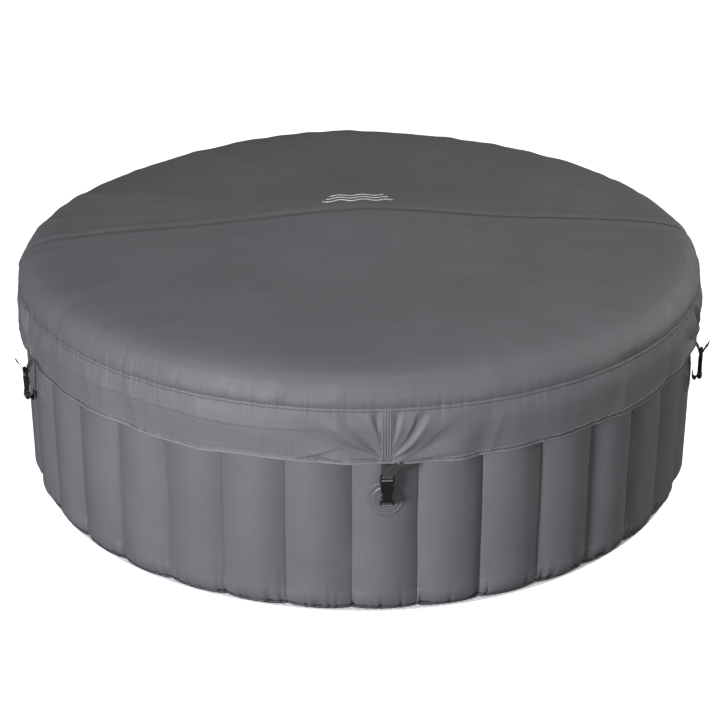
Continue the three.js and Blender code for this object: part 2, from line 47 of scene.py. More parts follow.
RIB_ANGLE = 360 / RIBS
WALL_R = 0.9925  # crest of an outer rib
WALL_TOP_Z = 0.632  # where the wall meets the top ring
WALL_FOOT_R = 0.958  # weld at the foot of the wall
RIB_DEPTH = 0.026  # from crest to groove
INNER_R = 0.789
RIM_TOP = 0.697
RIM_MIDDLE_R = 0.888
MAT_R = 0.966
BUBBLE_R = 0.745
SEAM_Z = 0.6175  # sewn edge between the cover's top and its skirt
HEM_Z = 0.470
CREASE_Z = 0.552  # pressed fold round the middle of the skirt
SKIRT_ANGLES = np.arange(2160) / 6
STATION_GAP = 72  # degrees between tie-downs
PLACES = ("front", "right", "back_right", "back_left", "left")
STATIONS = {name: i * STATION_GAP for i, name in enumerate(PLACES)}
STRIP_WIDTH = 0.026
LAP_ANGLE = 13.2  # where a pleat laps at the hem, left of the front
LAP_REACH = 6.5  # degrees from where the pleat starts to where it fades
WEBBING = 0.030
WEBBING_THICK = 1.5 * MM
PATCH_Z = 0.352
BUCKLE_Y = -1.024
VALVE_ANGLE, VALVE_Z = 20 * RIB_ANGLE, 0.300
DRAIN_ANGLE, DRAIN_Z = 16 * RIB_ANGLE, 0.062
UNIT_ANGLE = 17.5 * RIB_ANGLE
PORT_X, PORT_Z = 0.087, 0.110
UNIT_X, UNIT_FAR, UNIT_NEAR = 0.200, -1.370, -1.072
UNIT_SPLIT, UNIT_TOP = 0.070, 0.392  # heights of the tray's edge and the hood's top
PANEL_Y = -1.290
BUTTONS = ("power", "heat", "filter", "bubble")

CAMERA_AZIMUTH = -4.0
CAMERA_ELEVATION = 24.45
CAMERA_DISTANCE = 6.074
CAMERA_TARGET = (0, 0, 0.35)
CAMERA_LENS = 100
CAMERA_SHIFT = (0.001, -0.0265)
LAMP_TARGET = (0, 0, 0.4)
LAMPS = (  # name, azimuth, elevation, distance, size, power, colour
    ("key", -37, 10, 7.0, 1.5, 435, (0.98, 0.99, 1.06)),
    ("front_right", 18, 18, 7.0, 1.8, 88, (1, 1, 1)),
    ("side_right", 92, 15, 7.0, 1.8, 145, (1, 1, 1)),
    ("behind_right", 122, 25, 7.0, 2.0, 52, (1, 1, 1)),
    ("overhead", 15, 76, 6.0, 3.0, 110, (1, 1, 1)),
)


# ---- noise and smooth lines ----
LATTICE = np.random.default_rng(5).random((32, 32, 32)) * 2 - 1


def noise(points):
    """Smooth value noise from -1 to 1 with one cell per unit; points is (..., 3)."""
    points = np.asarray(points, float)
    cell = np.floor(points).astype(int)
    share = points - cell
    share = share * share * (3 - 2 * share)
    total = np.zeros(points.shape[:-1])
    for corner in np.ndindex(2, 2, 2):
        weight = np.prod(np.where(corner, share, 1 - share), axis=-1)
        x, y, z = np.moveaxis((cell + corner) % 32, -1, 0)
        total += weight * LATTICE[x, y, z]
    return total


def noise_round(angle, height, along, across, seed=0):
    """Noise on a band round the tub, with features of these sizes (metres) along and across it."""
    a = np.radians(angle)
    parts = np.broadcast_arrays(np.sin(a) / along + seed * 7.3, np.cos(a) / along, height / across + seed)
    return noise(np.stack(parts, -1))


def bell(x, width):
    """1 at the middle, falling away smoothly on both sides."""
    return np.exp(-((x / width) ** 2))


def pinches(angle, height, along, across, seed):
    """Narrow creases, from 0 to 1, about this far apart along the band."""
    return bell(noise_round(angle, height, along, across, seed), 0.18)


def smoothstep(x):
    """Climbs smoothly from 0 to 1 as x does."""
    x = np.clip(x, 0, 1)
    return x * x * (3 - 2 * x)


def lengths_along(points):
    """How far along the line each of its points is."""
    return np.concatenate([[0], np.cumsum(np.linalg.norm(np.diff(points, axis=0), axis=1))])


def smooth_path(points, count):
    """Catmull-Rom line through the points, at evenly spaced lengths."""
    points = np.asarray(points, float)
    padded = np.vstack([2 * points[0] - points[1], points, 2 * points[-1] - points[-2]])
    fine = []
    t = np.linspace(0, 1, 16, endpoint=False)[:, None]
    for p0, p1, p2, p3 in zip(padded, padded[1:], padded[2:], padded[3:]):
        fine.append(0.5 * (2 * p1 + (p2 - p0) * t + (2 * p0 - 5 * p1 + 4 * p2 - p3) * t**2
                           + (3 * p1 - p0 - 3 * p2 + p3) * t**3))
    fine = np.vstack(fine + [padded[-2][None]])
    length = lengths_along(fine)
    wanted = np.linspace(0, length[-1], count)
    return np.stack([np.interp(wanted, length, fine[:, k]) for k in range(points.shape[1])], -1)


def polar(angle, radius, z):
    """Points at these angles round the tub, radii and heights."""
    a = np.radians(angle)
    return np.stack(np.broadcast_arrays(radius * np.sin(a), -radius * np.cos(a), z), -1)


def turn(points, angle):
    """Points made at the front (-Y), carried round the tub."""
    a = math.radians(angle)
    c, s = math.cos(a), math.sin(a)
    x, y, z = np.moveaxis(np.asarray(points, float), -1, 0)
    return np.stack([x * c - y * s, x * s + y * c, z], -1)


def normalise(v):
    return v / np.maximum(np.linalg.norm(v, axis=-1, keepdims=True), 1e-12)


def outward(points):
    return normalise(points * [1, 1, 0])


def upward(points):
    return np.broadcast_to([0.0, 0.0, 1.0], points.shape)


def uv_grid(across, along):
    """Texture coordinates in metres over a grid."""
    return np.stack(np.broadcast_arrays(across, along), -1)


# ---- meshes ----
def grid_faces(rows, columns, closed):
    """Quads over a grid. Rows that climb and columns that run anticlockwise face outwards."""
    row, column = np.mgrid[0 : rows - 1, 0 : columns if closed else columns - 1]
    after = (column + 1) % columns
    corners = [row * columns + column, row * columns + after, (row + 1) * columns + after,
               (row + 1) * columns + column]
    return np.stack(corners, -1).reshape(-1, 4)


def tube_faces(rows, columns):
    """Faces over rings of points, with a cap on each end."""
    faces = [list(f) for f in grid_faces(rows, columns, True)]
    return faces + [list(range(columns))[::-1], [(rows - 1) * columns + i for i in range(columns)]]


def piece(name, points, faces, body, slot, material, replaces=(), uv=None):
    """A mesh object that rides on a body and stands for CAD nodes."""
    mesh = bpy.data.meshes.new(name)
    points = np.asarray(points, float).reshape(-1, 3)
    mesh.from_pydata(points.tolist(), [], [list(map(int, f)) for f in faces])
    mesh.shade_smooth()
    if uv is not None:
        loops = np.zeros(len(mesh.loops), int)
        mesh.loops.foreach_get("vertex_index", loops)
        layer = mesh.uv_layers.new(name="metres")
        layer.data.foreach_set("uv", np.asarray(uv, float).reshape(-1, 2)[loops].ravel())
    mesh.materials.append(material)
    made = bpy.data.objects.new(name, mesh)
    bpy.context.scene.collection.objects.link(made)
    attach(made, body)
    if replaces:
        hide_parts(*replaces)
    return made


def grid_piece(name, points, body, slot, material, closed=True, **more):
    """A piece over a (rows, columns, 3) grid of points, which goes all the way round if closed."""
    return piece(name, points, grid_faces(*points.shape[:2], closed), body, slot, material, **more)


def set_round(name, made, angle, body, slot, material, *nodes):
    """A piece made at the front, carried round the tub, that stands for these CAD nodes."""
    piece(name, turn(made[0], angle), made[1], body, slot, material, nodes)


def joined(*parts):
    """One (points, faces) from several."""
    points, faces, start = [], [], 0
    for p, f in parts:
        p = np.asarray(p, float).reshape(-1, 3)
        points.append(p)
        faces += [[int(i) + start for i in face] for face in f]
        start += len(p)
    return np.vstack(points), faces


def sweep(path, across, out, section, closed=False):
    """A closed section, in (across, out) pairs, carried along a path."""
    section = np.asarray(section, float)
    points = path[:, None] + across[:, None] * section[None, :, :1] + out[:, None] * section[None, :, 1:]
    rows, columns = points.shape[:2]
    if not closed:
        return points.reshape(-1, 3), tube_faces(rows, columns)
    points = np.concatenate([points, points[:1]])
    return points.reshape(-1, 3), grid_faces(rows + 1, columns, True)


def lathe(profile, segments):
    """A profile of (radius, height) turned about Z; radius 0 closes an end."""
    profile = np.asarray(profile, float)
    angle = np.arange(segments) * 360 / segments
    points = polar(angle[None, :], profile[:, :1], profile[:, 1:])
    return points.reshape(-1, 3), grid_faces(len(profile), segments, True)


def rounded(profile, radius, steps=4):
    """The profile with its corners rounded."""
    profile = np.asarray(profile, float)
    made = [profile[0]]
    for before, corner, after in zip(profile, profile[1:], profile[2:]):
        a, b = before - corner, after - corner
        reach = min(radius, 0.45 * np.linalg.norm(a), 0.45 * np.linalg.norm(b))
        start = corner + a / np.linalg.norm(a) * reach
        end = corner + b / np.linalg.norm(b) * reach
        t = np.linspace(0, 1, steps + 1)[:, None]
        made.extend((1 - t) ** 2 * start + 2 * t * (1 - t) * corner + t**2 * end)
    return np.vstack(made + [profile[-1]])


def turned_out(profile, x, z, segments=64):
    """A lathed shape whose axis runs outwards (-Y) from the tub's axis; heights are radii from it."""
    points, faces = lathe(profile, segments)
    px, py, pz = points.T
    return np.stack([px + x, -pz, z + py], -1), faces


def plate(outlines, y, thickness, bevel):
    """Outlines in X and Z, the first filled and the others cut out, as a mesh with rounded edges."""
    curve = bpy.data.curves.new("plate", "CURVE")
    curve.dimensions = "2D"
    curve.fill_mode = "BOTH"
    curve.extrude = thickness / 2 - bevel
    curve.bevel_depth = bevel
    curve.bevel_resolution = 2
    curve.offset = -bevel
    for outline in outlines:
        spline = curve.splines.new("POLY")
        spline.points.add(len(outline) - 1)
        for point, (px, pz) in zip(spline.points, outline):
            point.co = (px, pz, 0, 1)
        spline.use_cyclic_u = True
    holder = bpy.data.objects.new("plate", curve)
    mesh = bpy.data.meshes.new_from_object(holder)
    bpy.data.objects.remove(holder)
    bpy.data.curves.remove(curve)
    points = np.array([v.co for v in mesh.vertices])
    faces = [list(p.vertices) for p in mesh.polygons]
    bpy.data.meshes.remove(mesh)
    return np.stack([points[:, 0], y - points[:, 2], points[:, 1]], -1), faces


def soft_outline(half, radius=1.5 * MM):
    """A mirrored outline from its right half (mm), with softened corners."""
    half = np.asarray(half, float) * MM
    whole = np.vstack([half, (half * [-1, 1])[::-1]])
    return rounded(np.vstack([whole[-1], whole, whole[0]]), radius)[1:-1]


def ringed(profile, radius=1.2 * MM):
    """A turned profile (mm) with rounded corners."""
    return rounded(np.array(profile) * MM, radius)


def circle(x, z, radius, count):
    turns = np.linspace(0, 2 * math.pi, count, endpoint=False)
    return np.stack([x + radius * np.cos(turns), z + radius * np.sin(turns)], -1)


def slot_outline(half_width, z0, z1):
    return soft_outline([[half_width, z1], [half_width, z0]], 0.8 * MM)


def rounded_rectangle(x0, x1, y0, y1, corner, steps=8):
    turns = np.radians(np.linspace(0, 90, steps + 1))
    centres = [(x1 - corner, y1 - corner, 0), (x0 + corner, y1 - corner, 90),
               (x0 + corner, y0 + corner, 180), (x1 - corner, y0 + corner, 270)]
    rows = [np.stack([cx + corner * np.cos(turns + math.radians(a)),
                      cy + corner * np.sin(turns + math.radians(a))], -1) for cx, cy, a in centres]
    return np.vstack(rows)


def loft(rings):
    """Rings of the same point count, bottom first, closed at both ends."""
    points = np.stack(rings)
    return points.reshape(-1, 3), tube_faces(*points.shape[:2])


def block(x0, x1, y0, y1, corner, levels):
    """A rounded block whose levels are (height, inset) pairs, bottom first."""
    rings = []
    for z, inset in levels:
        flat = rounded_rectangle(x0 + inset, x1 - inset, y0 + inset, y1 - inset, max(corner - inset, 1 * MM))
        rings.append(np.column_stack([flat, np.full(len(flat), z)]))
    return loft(rings)


# ---- materials ----
class Look:
    """A Principled material whose colour, roughness and bump are built from procedural textures."""

    def __init__(self, name, roughness, metallic=0.0, sheen=0.0):
        self.material = bpy.data.materials.new(name)
        self.material.use_nodes = True
        self.tree = self.material.node_tree
        self.shader = self.tree.nodes["Principled BSDF"]
        self.shader.inputs["Metallic"].default_value = metallic
        self.shader.inputs["Sheen Weight"].default_value = sheen
        self.coordinates = self.tree.nodes.new("ShaderNodeTexCoord")
        self.roughness = roughness
        self.height = None

    def fill(self, socket, value):
        """Links another node's output to the socket, or sets a plain value."""
        if isinstance(value, bpy.types.NodeSocket):
            self.tree.links.new(value, socket)
        else:
            socket.default_value = value

    def add(self, kind, **inputs):
        node = self.tree.nodes.new(kind)
        for key, value in inputs.items():
            self.fill(node.inputs[key.replace("_", " ")], value)
        return node

    def place(self, space="Object", scale=(1, 1, 1), angle=0.0):
        """Texture coordinates, stretched and then turned about Z."""
        return self.add("ShaderNodeMapping", Vector=self.coordinates.outputs[space], Scale=scale,
                        Rotation=(0, 0, angle)).outputs[0]

    def noise(self, scale, detail, stretch=(1, 1, 1)):
        where = self.place(scale=stretch)
        return self.add("ShaderNodeTexNoise", Vector=where, Scale=scale, Detail=detail).outputs["Fac"]

    def stripes(self, pitch, space="UV", angle=0.0):
        """A sine wave with one crest per pitch, across the first coordinate turned by the angle."""
        wave = self.add("ShaderNodeTexWave", Vector=self.place(space, angle=angle),
                        Scale=math.pi / (10 * pitch))
        return wave.outputs["Fac"]

    def maths(self, operation, a, b):
        node = self.tree.nodes.new("ShaderNodeMath")
        node.operation = operation
        self.fill(node.inputs[0], a)
        self.fill(node.inputs[1], b)
        return node.outputs[0]

    def between(self, factor, low, high, start=0.3, end=0.7):
        """Goes from low to high as the factor climbs from start to end."""
        return self.add("ShaderNodeMapRange", Value=factor, From_Min=start, From_Max=end,
                        To_Min=low, To_Max=high).outputs[0]

    def colour(self, factor, dark, light):
        """The base colour, from dark to light as the factor climbs from 0 to 1."""
        node = self.tree.nodes.new("ShaderNodeMix")
        node.data_type = "RGBA"
        self.tree.links.new(factor, node.inputs["Factor"])
        node.inputs["A"].default_value = (*dark, 1)
        node.inputs["B"].default_value = (*light, 1)
        self.tree.links.new(node.outputs["Result"], self.shader.inputs["Base Color"])

    def bump(self, height, depth, strength):
        """Adds a relief of this depth in metres on top of what is there."""
        node = self.add("ShaderNodeBump", Height=height, Distance=depth, Strength=strength)
        if self.height is not None:
            self.tree.links.new(self.height, node.inputs["Normal"])
        self.height = node.outputs[0]

    def done(self, spread=0.06):
        """The finished material; its roughness wanders this far to each side."""
        cloudy = self.noise(14.0, 4.0)
        rough = self.between(cloudy, self.roughness - spread, self.roughness + spread)
        self.tree.links.new(rough, self.shader.inputs["Roughness"])
        if self.height is not None:
            self.tree.links.new(self.height, self.shader.inputs["Normal"])
        return self.material


def shade(value, tint=(1.0, 1.0, 1.0)):
    return tuple(value * t for t in tint)


COOL = (0.985, 0.985, 1.05)


def vinyl(name, value, roughness=0.46):
    """Laminated PVC: a fine scrim under the skin, faint waviness and rubbed patches."""
    look = Look(name, roughness)
    rubbed = look.noise(5.0, 6.0)
    look.colour(look.between(rubbed, 0.0, 1.0), shade(value * 0.93, COOL), shade(value * 1.06, COOL))
    scrim = look.maths("ADD", look.stripes(1.6 * MM), look.stripes(1.6 * MM, angle=math.pi / 2))
    look.bump(look.noise(26.0, 2.0, stretch=(1, 1, 0.35)), 1.6 * MM, 0.6)
    look.bump(scrim, 0.05 * MM, 0.5)
    look.bump(look.noise(900.0, 2.0), 0.06 * MM, 0.6)
    return look.done()


def cover_cloth(name, value):
    """Coated woven polyester: plain weave, soft creases and uneven dye."""
    look = Look(name, 0.62, sheen=0.06)
    weave = look.maths("MULTIPLY", look.stripes(1.1 * MM), look.stripes(1.1 * MM, angle=math.pi / 2))
    patchy = look.maths("ADD", look.maths("MULTIPLY", look.noise(3.0, 5.0), 0.8),
                        look.maths("MULTIPLY", weave, 0.2))
    look.colour(look.between(patchy, 0.0, 1.0), shade(value * 0.92, COOL), shade(value * 1.08, COOL))
    look.bump(look.noise(9.0, 5.0), 5.0 * MM, 0.5)
    look.bump(look.noise(45.0, 3.0), 0.9 * MM, 0.5)
    look.bump(weave, 0.12 * MM, 0.5)
    return look.done(0.07)


def webbing_look():
    look = Look("webbing", 0.78, sheen=0.1)
    ribs = look.stripes(1.5 * MM, angle=math.pi / 2)
    chevron = look.maths("MULTIPLY", look.stripes(2.2 * MM, angle=0.9), look.stripes(2.2 * MM, angle=-0.9))
    look.colour(look.between(chevron, 0.0, 1.0), shade(0.02), shade(0.12))
    look.bump(ribs, 0.35 * MM, 0.8)
    look.bump(chevron, 0.25 * MM, 0.8)
    return look.done(0.05)


def moulded(name, value, roughness, tint=(1, 1, 1), grain=0.05):
    """Injection-moulded plastic with a spark-eroded grain and handling wear."""
    look = Look(name, roughness)
    worn = look.noise(30.0, 5.0)
    look.colour(look.between(worn, 0.0, 1.0), shade(value * 0.88, tint), shade(value * 1.1, tint))
    look.bump(look.noise(1500.0, 2.0), grain * MM, 0.6)
    look.bump(look.noise(22.0, 2.0), 0.25 * MM, 0.3)
    return look.done(0.05)


def thread_look(name, value):
    look = Look(name, 0.7, sheen=0.2)
    look.colour(look.noise(600.0, 2.0), shade(value * 0.7), shade(value * 1.1))
    look.bump(look.noise(1800.0, 2.0), 0.1 * MM, 0.8)
    return look.done(0.04)


def foam_look():
    """Closed-cell foam with an embossed diamond pattern."""
    look = Look("mat_foam", 0.75)
    one_way, other_way = (look.stripes(14 * MM, "Object", turned) for turned in (0.785, -0.785))
    quilt = look.maths("ADD", one_way, other_way)
    look.colour(look.noise(8.0, 4.0), shade(0.82), shade(0.88))
    look.bump(quilt, 0.8 * MM, 0.6)
    look.bump(look.noise(700.0, 2.0), 0.2 * MM, 0.6)
    return look.done(0.05)


def metal_look(name, value, roughness):
    look = Look(name, roughness, metallic=1.0)
    look.colour(look.noise(60.0, 3.0, stretch=(1, 1, 12)), shade(value * 0.9), shade(value * 1.05))
    look.bump(look.noise(300.0, 2.0, stretch=(1, 1, 20)), 0.05 * MM, 0.4)
    return look.done(0.04)


def pleat_look():
    look = Look("filter_pleats", 0.85)
    look.colour(look.noise(40.0, 3.0), shade(0.6, (1, 1, 0.97)), shade(0.78, (1, 1, 0.98)))
    look.bump(look.noise(300.0, 3.0), 0.2 * MM, 0.7)
    return look.done(0.03)


def board_look():
    look = Look("circuit_board", 0.4)
    bricks = look.add("ShaderNodeTexBrick", Vector=look.place(), Scale=120.0, Mortar_Size=0.04)
    traces = bricks.outputs["Fac"]
    look.colour(traces, shade(0.05, (0.3, 1, 0.4)), shade(0.12, (0.4, 1, 0.5)))
    look.bump(traces, 0.05 * MM, 0.5)
    return look.done(0.03)


PVC = vinyl("tub_pvc", 0.15)
PVC_PATCH = vinyl("patch_pvc", 0.14, 0.4)
# The lip is the wall's own PVC painted much darker: painted shade under the foot of the wall.
PVC_LIP_PAINTED_SHADE = vinyl("lip_pvc_painted_shade", 0.045, 0.5)
PVC_BLADDER = vinyl("bladder_pvc", 0.40, 0.38)
# Top and skirt are one cloth. The skirt's copy, also used on the edge seam and the stitched strips, is
# painted lighter than the top's: painted light on the skirt's sides.
COVER = cover_cloth("cover_top_cloth", 0.135)
SKIRT_CLOTH_PAINTED_LIGHT = cover_cloth("cover_skirt_cloth_painted_light", 0.152)
BINDING = cover_cloth("hem_binding", 0.26)
# A near-black copy of the cover cloth: painted shadow along the cross seam's lap.
SEAM_SHADOW_CLOTH = cover_cloth("seam_painted_shadow", 0.04)
GREY_THREAD = thread_look("grey_thread", 0.30)
DARK_THREAD = thread_look("dark_thread", 0.025)
PRINT = moulded("white_print", 0.75, 0.5)
STRAP = webbing_look()
BLACK = moulded("black_plastic", 0.012, 0.34)
# A pale copy of the black buckle plastic: its light grey is a painted highlight on the buckles' bars; its
# low roughness is real gloss.
GLOSS_PAINTED_HIGHLIGHT = moulded("polished_plastic_painted_highlight", 0.16, 0.2, grain=0.01)
CASE = moulded("case_plastic", 0.045, 0.45, COOL, 0.12)
PALE = moulded("pale_plastic", 0.5, 0.4, COOL)
FOAM = foam_look()
STEEL = metal_look("brushed_steel", 0.6, 0.32)
PLEATS = pleat_look()
BOARD = board_look()


# ---- the ribbed wall ----
def rib_columns(per_rib=48):
    """Angles round the tub, closer together at the grooves, and how far each is off its rib's crest."""
    t = np.arange(per_rib) / per_rib * 2 - 1
    off = np.sin(t * math.pi / 2)
    angle = (np.arange(RIBS)[:, None] + off[None, :] / 2) * RIB_ANGLE
    return angle.ravel(), np.tile(off, RIBS)


def foot_scallop(off):
    """How far the foot weld is drawn in between the ribs."""
    return 16 * MM * (1 - np.sqrt(1 - 0.96 * off**2))


def wall_radius(angle, off, z):
    """Outer wall: round ribs, narrow welded grooves, and a foot gathered into the bottom weld."""
    tuck = np.clip((z - 0.012) / 0.052, 0, 1)
    foot = WALL_FOOT_R - foot_scallop(off)
    crest = foot + (WALL_R - foot) * np.sqrt(1 - (1 - tuck) ** 2)
    crest = crest + 0.003 * np.sin(np.pi * np.clip(z / SEAM_Z, 0, 1))
    depth = RIB_DEPTH * np.sqrt(tuck) * smoothstep((0.66 - z) / 0.06)
    groove = 0.8 * MM * bell(1 - np.abs(off), 0.028) * smoothstep(tuck)
    near_foot = np.exp(-np.clip(z - 0.024, 0, 1) / 0.024)
    gathers = 0.5 - pinches(angle, z, 0.022, 0.4, 1)
    creases = noise_round(angle, z * 0.6, 0.05, 0.09, 2)
    slack = 1.4 * MM * creases * (0.3 + off**2)
    return crest - depth * off**2 - groove + 7.5 * MM * gathers * near_foot + slack


def outer_wall():
    """The ribbed outside of the air wall, whose grooves wander a little from straight."""
    angle, off = rib_columns()
    z = np.concatenate([np.linspace(0.0135, 0.07, 20), np.linspace(0.078, WALL_TOP_Z, 46)])[:, None]
    radius = wall_radius(angle[None, :], off[None, :], z)
    sway = 0.3 * noise_round(angle[None, :], z, 0.18, 0.13, 7) * off[None, :] ** 4
    uv = uv_grid(np.radians(angle)[None, :] * WALL_R, z)
    points = polar(angle[None, :] + sway, radius, z)
    grid_piece("wall_outer", points, "tub", "tub_pvc", PVC, replaces=["outer_wall"], uv=uv)


def inner_wall():
    """The wall round the basin, drawn in at both ends and shallowly ribbed."""
    angle, off = rib_columns(16)
    z = np.concatenate([np.linspace(0.01, 0.07, 10), np.linspace(0.08, 0.635, 24)])[:, None]
    near_ends = smoothstep((z - 0.008) / 0.05) * smoothstep((0.65 - z) / 0.05)
    gathers = 2.0 * MM * noise_round(angle[None, :], z, 0.02, 0.09, 3)
    radius = INNER_R + 0.012 * (1 - near_ends) + 0.013 * near_ends * off[None, :] ** 2 + gathers
    points = polar(angle[None, :], radius, z)[::-1]
    grid_piece("wall_inner", points, "tub", "tub_pvc", PVC, replaces=["inner_wall"])


def rim_ring():
    """The top of the air wall, gathered a little at every web."""
    angle, off = rib_columns(16)
    turns = np.radians(np.linspace(-4, 184, 30))[:, None]
    half_width = 0.0985
    pinch = 1 - 0.05 * bell(1 - np.abs(off[None, :]), 0.2)
    gathers = 1 + 0.02 * noise_round(angle[None, :], turns, 0.03, 0.5, 4)
    radius = RIM_MIDDLE_R + half_width * np.cos(turns) * pinch * gathers
    sunk = 0.35 * np.maximum(shoulder_sag(angle[None, :]) - 8 * MM, 0)
    z = WALL_TOP_Z + (RIM_TOP - WALL_TOP_Z - sunk) * np.sin(turns) * pinch * gathers
    grid_piece("rim_ring", polar(angle[None, :], radius, z), "tub", "tub_pvc", PVC, replaces=["top_ring"])


def foot_lip():
    """The flat weld flange that the wall and the base sheet end in, pinched in at the grooves."""
    angle, off = rib_columns()
    section = [(-0.02, 0.0165), (0.006, 0.0162), (0.015, 0.0135), (0.0165, 0.0100), (0.015, 0.0070),
               (-0.02, 0.0065)]
    flutter = 5.0 * MM * (0.4 - pinches(angle, 0.014, 0.022, 0.4, 1))
    scallop = foot_scallop(off)
    rows = [polar(angle, WALL_FOOT_R + r - scallop + flutter * (r > 0), z + 0.8 * flutter * (r > 0))
            for r, z in reversed(section)]
    # The flange's dark colour is painted shade, not a darker PVC.
    grid_piece("foot_lip", np.stack(rows), "tub", "tub_pvc", PVC_LIP_PAINTED_SHADE)


def base_sheet():
    """The tub's floor, welded in rings and slightly rippled."""
    angle = np.arange(240) * 1.5
    radius = np.concatenate([np.linspace(0.955, 0.02, 90), [0.0]])[:, None]
    ripple = 0.5 * MM * noise(np.stack(np.broadcast_arrays(
        radius * np.sin(np.radians(angle)) * 9, radius * np.cos(np.radians(angle)) * 9, 0.0), -1))
    z = 0.0062 + ripple + 0.6 * MM * np.cos(radius * 2 * math.pi / 0.12)
    points = polar(angle[None, :], radius, z)
    grid_piece("floor_sheet", points, "tub", "tub_pvc", PVC, replaces=["base_sheet"])


def ground_mat():
    """The foam mat under the tub, a little out of round."""
    angle = np.arange(360)
    edge = MAT_R + 8 * MM * np.cos(np.radians(angle)) + 1.5 * MM * noise_round(angle, 0, 0.25, 1, 8)
    levels = [(0.0, 0.0), (-0.06, 0.0), (-0.001, 0.0), (0, 0.001), (0, 0.003), (-0.0015, 0.004),
              (-0.06, 0.004), (0, 0.004)]
    rows = [polar(angle, (edge + dr) * (0 if i in (0, len(levels) - 1) else 1), z)
            for i, (dr, z) in enumerate(levels)]
    grid_piece("ground_mat_foam", np.stack(rows), "tub", "mat_foam", FOAM, replaces=["ground_mat"])


def bubble_ring():
    """The air channel on the floor, with a moulded jet every few degrees."""
    turns = np.radians(np.linspace(-100, 100, 14))
    profile = [(BUBBLE_R + 0.025 * math.sin(t), 0.0075 + 0.022 * max(0.0, math.cos(t * 0.9))) for t in turns]
    points, faces = lathe(ringed([(0, 1.2), (4, 1.2), (5, -1)], 1 * MM)[::-1], 12)
    spots = polar(np.arange(0, 360, 7.5), BUBBLE_R, 0.0298)
    piece("bubble_tube", *lathe(profile[::-1], 288), "tub", "tub_pvc", PVC, replaces=["bubble_ring"])
    piece("bubble_jets", *joined(*[(points + spot, faces) for spot in spots]), "tub", "pale_plastic", PALE)


# ---- the cover ----
TOP_SECTION = smooth_path([  # radius and height, from the sewn edge to the middle
    (1.0030, 0.6180), (1.0044, 0.6240), (1.0052, 0.6340), (1.0045, 0.6470), (0.9990, 0.6640),
    (0.9865, 0.6830), (0.9620, 0.7005), (0.9200, 0.7130), (0.8600, 0.7200), (0.7500, 0.7270),
    (0.6000, 0.7340), (0.4500, 0.7420), (0.3000, 0.7560), (0.1800, 0.7690), (0.0900, 0.7765),
    (0.0000, 0.7800)], 400)
FROM_EDGE = lengths_along(TOP_SECTION)
SKIRT_SECTION = smooth_path([  # height and radius, from the hem to the sewn edge
    (0.4700, 1.0040), (0.5000, 1.0060), (0.5300, 1.0090), (0.5650, 1.0105), (0.5950, 1.0075),
    (0.6120, 1.0045), (0.6180, 1.0030)], 80)


def off_station(angle):
    """Degrees to the nearest tie-down, signed."""
    return (np.asarray(angle) + STATION_GAP / 2) % STATION_GAP - STATION_GAP / 2


def angle_gap(angle, other):
    """Degrees from one angle to the other, signed."""
    return (np.asarray(angle) - other + 180) % 360 - 180


def shoulder_sag(angle):
    """How far the cover sinks over the rim: most behind on both sides, least in the middle of the back."""
    dips = 9 * bell(angle_gap(angle, 135), 35) + 17 * bell(angle_gap(angle, 229), 30)
    return (6 + dips - 9 * bell(angle_gap(angle, 181), 12)) * MM


def edge_fullness(angle):
    """How much fullness is eased into the edge seam: about 1, and most at the front left."""
    return 1 + 0.5 * noise_round(angle, 0, 0.15, 1, 14) + 1.1 * bell(angle_gap(angle, -38), 22)


def seam_gathers(angle, away):
    """How far the cloth is drawn in at this distance from the edge seam; it is the same on both sides."""
    short = 1.2 * MM * pinches(angle, away, 0.011, 0.06, 10) * np.exp(-away / 0.016)
    long = 1.3 * MM * pinches(angle, away * 0.3, 0.03, 0.2, 13) * np.exp(-away / 0.042)
    return (short + long) * edge_fullness(angle)


def cover_top_points(angle, rows):
    """The domed top from its sewn edge to the middle: gathers at the edge, slack folds over the rim."""
    slope = np.gradient(TOP_SECTION, FROM_EDGE, axis=0)
    out = normalise(np.stack([slope[:, 1], -slope[:, 0]], -1))
    radius, z, out_r, out_z = (np.interp(rows, FROM_EDGE, values)[:, None]
                               for values in (*TOP_SECTION.T, *out.T))
    d = rows[:, None]
    x, y = radius * np.sin(np.radians(angle)), radius * np.cos(np.radians(angle))
    puckers = -seam_gathers(angle, d)
    folds = noise_round(angle, d * 0.5, 0.05, 0.16, 11)
    slack = 3.2 * MM * folds * bell(d - 0.09, 0.09) * smoothstep(d / 0.03)
    flat = np.stack([x, y, y * 0], -1)
    broad = 3.0 * MM * noise(flat * 3.1 + 3) * smoothstep(d / 0.1)
    crumple = 0.5 * MM * (1 - 2 * np.abs(noise(flat * 13 + 9))) * smoothstep(d / 0.15)
    tension = 1.6 * MM * noise_round(angle, d * 0.4, 0.09, 0.5, 12) * bell(d - 0.3, 0.2)
    sag = -shoulder_sag(angle) * smoothstep(d / 0.05) * bell(np.maximum(d - 0.1, 0), 0.2)
    shift = sag + puckers + slack + broad + crumple + tension
    seam_dip = -2.2 * MM * bell(y, 0.012) + 1.2 * MM * bell(np.abs(y) - 0.03, 0.016)
    rucks = 1.2 * MM * noise(np.stack([x * 38, -y * 8, y * 0], -1)) * bell(y, 0.07)
    shift = shift + (seam_dip + rucks) * smoothstep(d / 0.06)
    return polar(angle, radius + shift * out_r, z + shift * out_z)


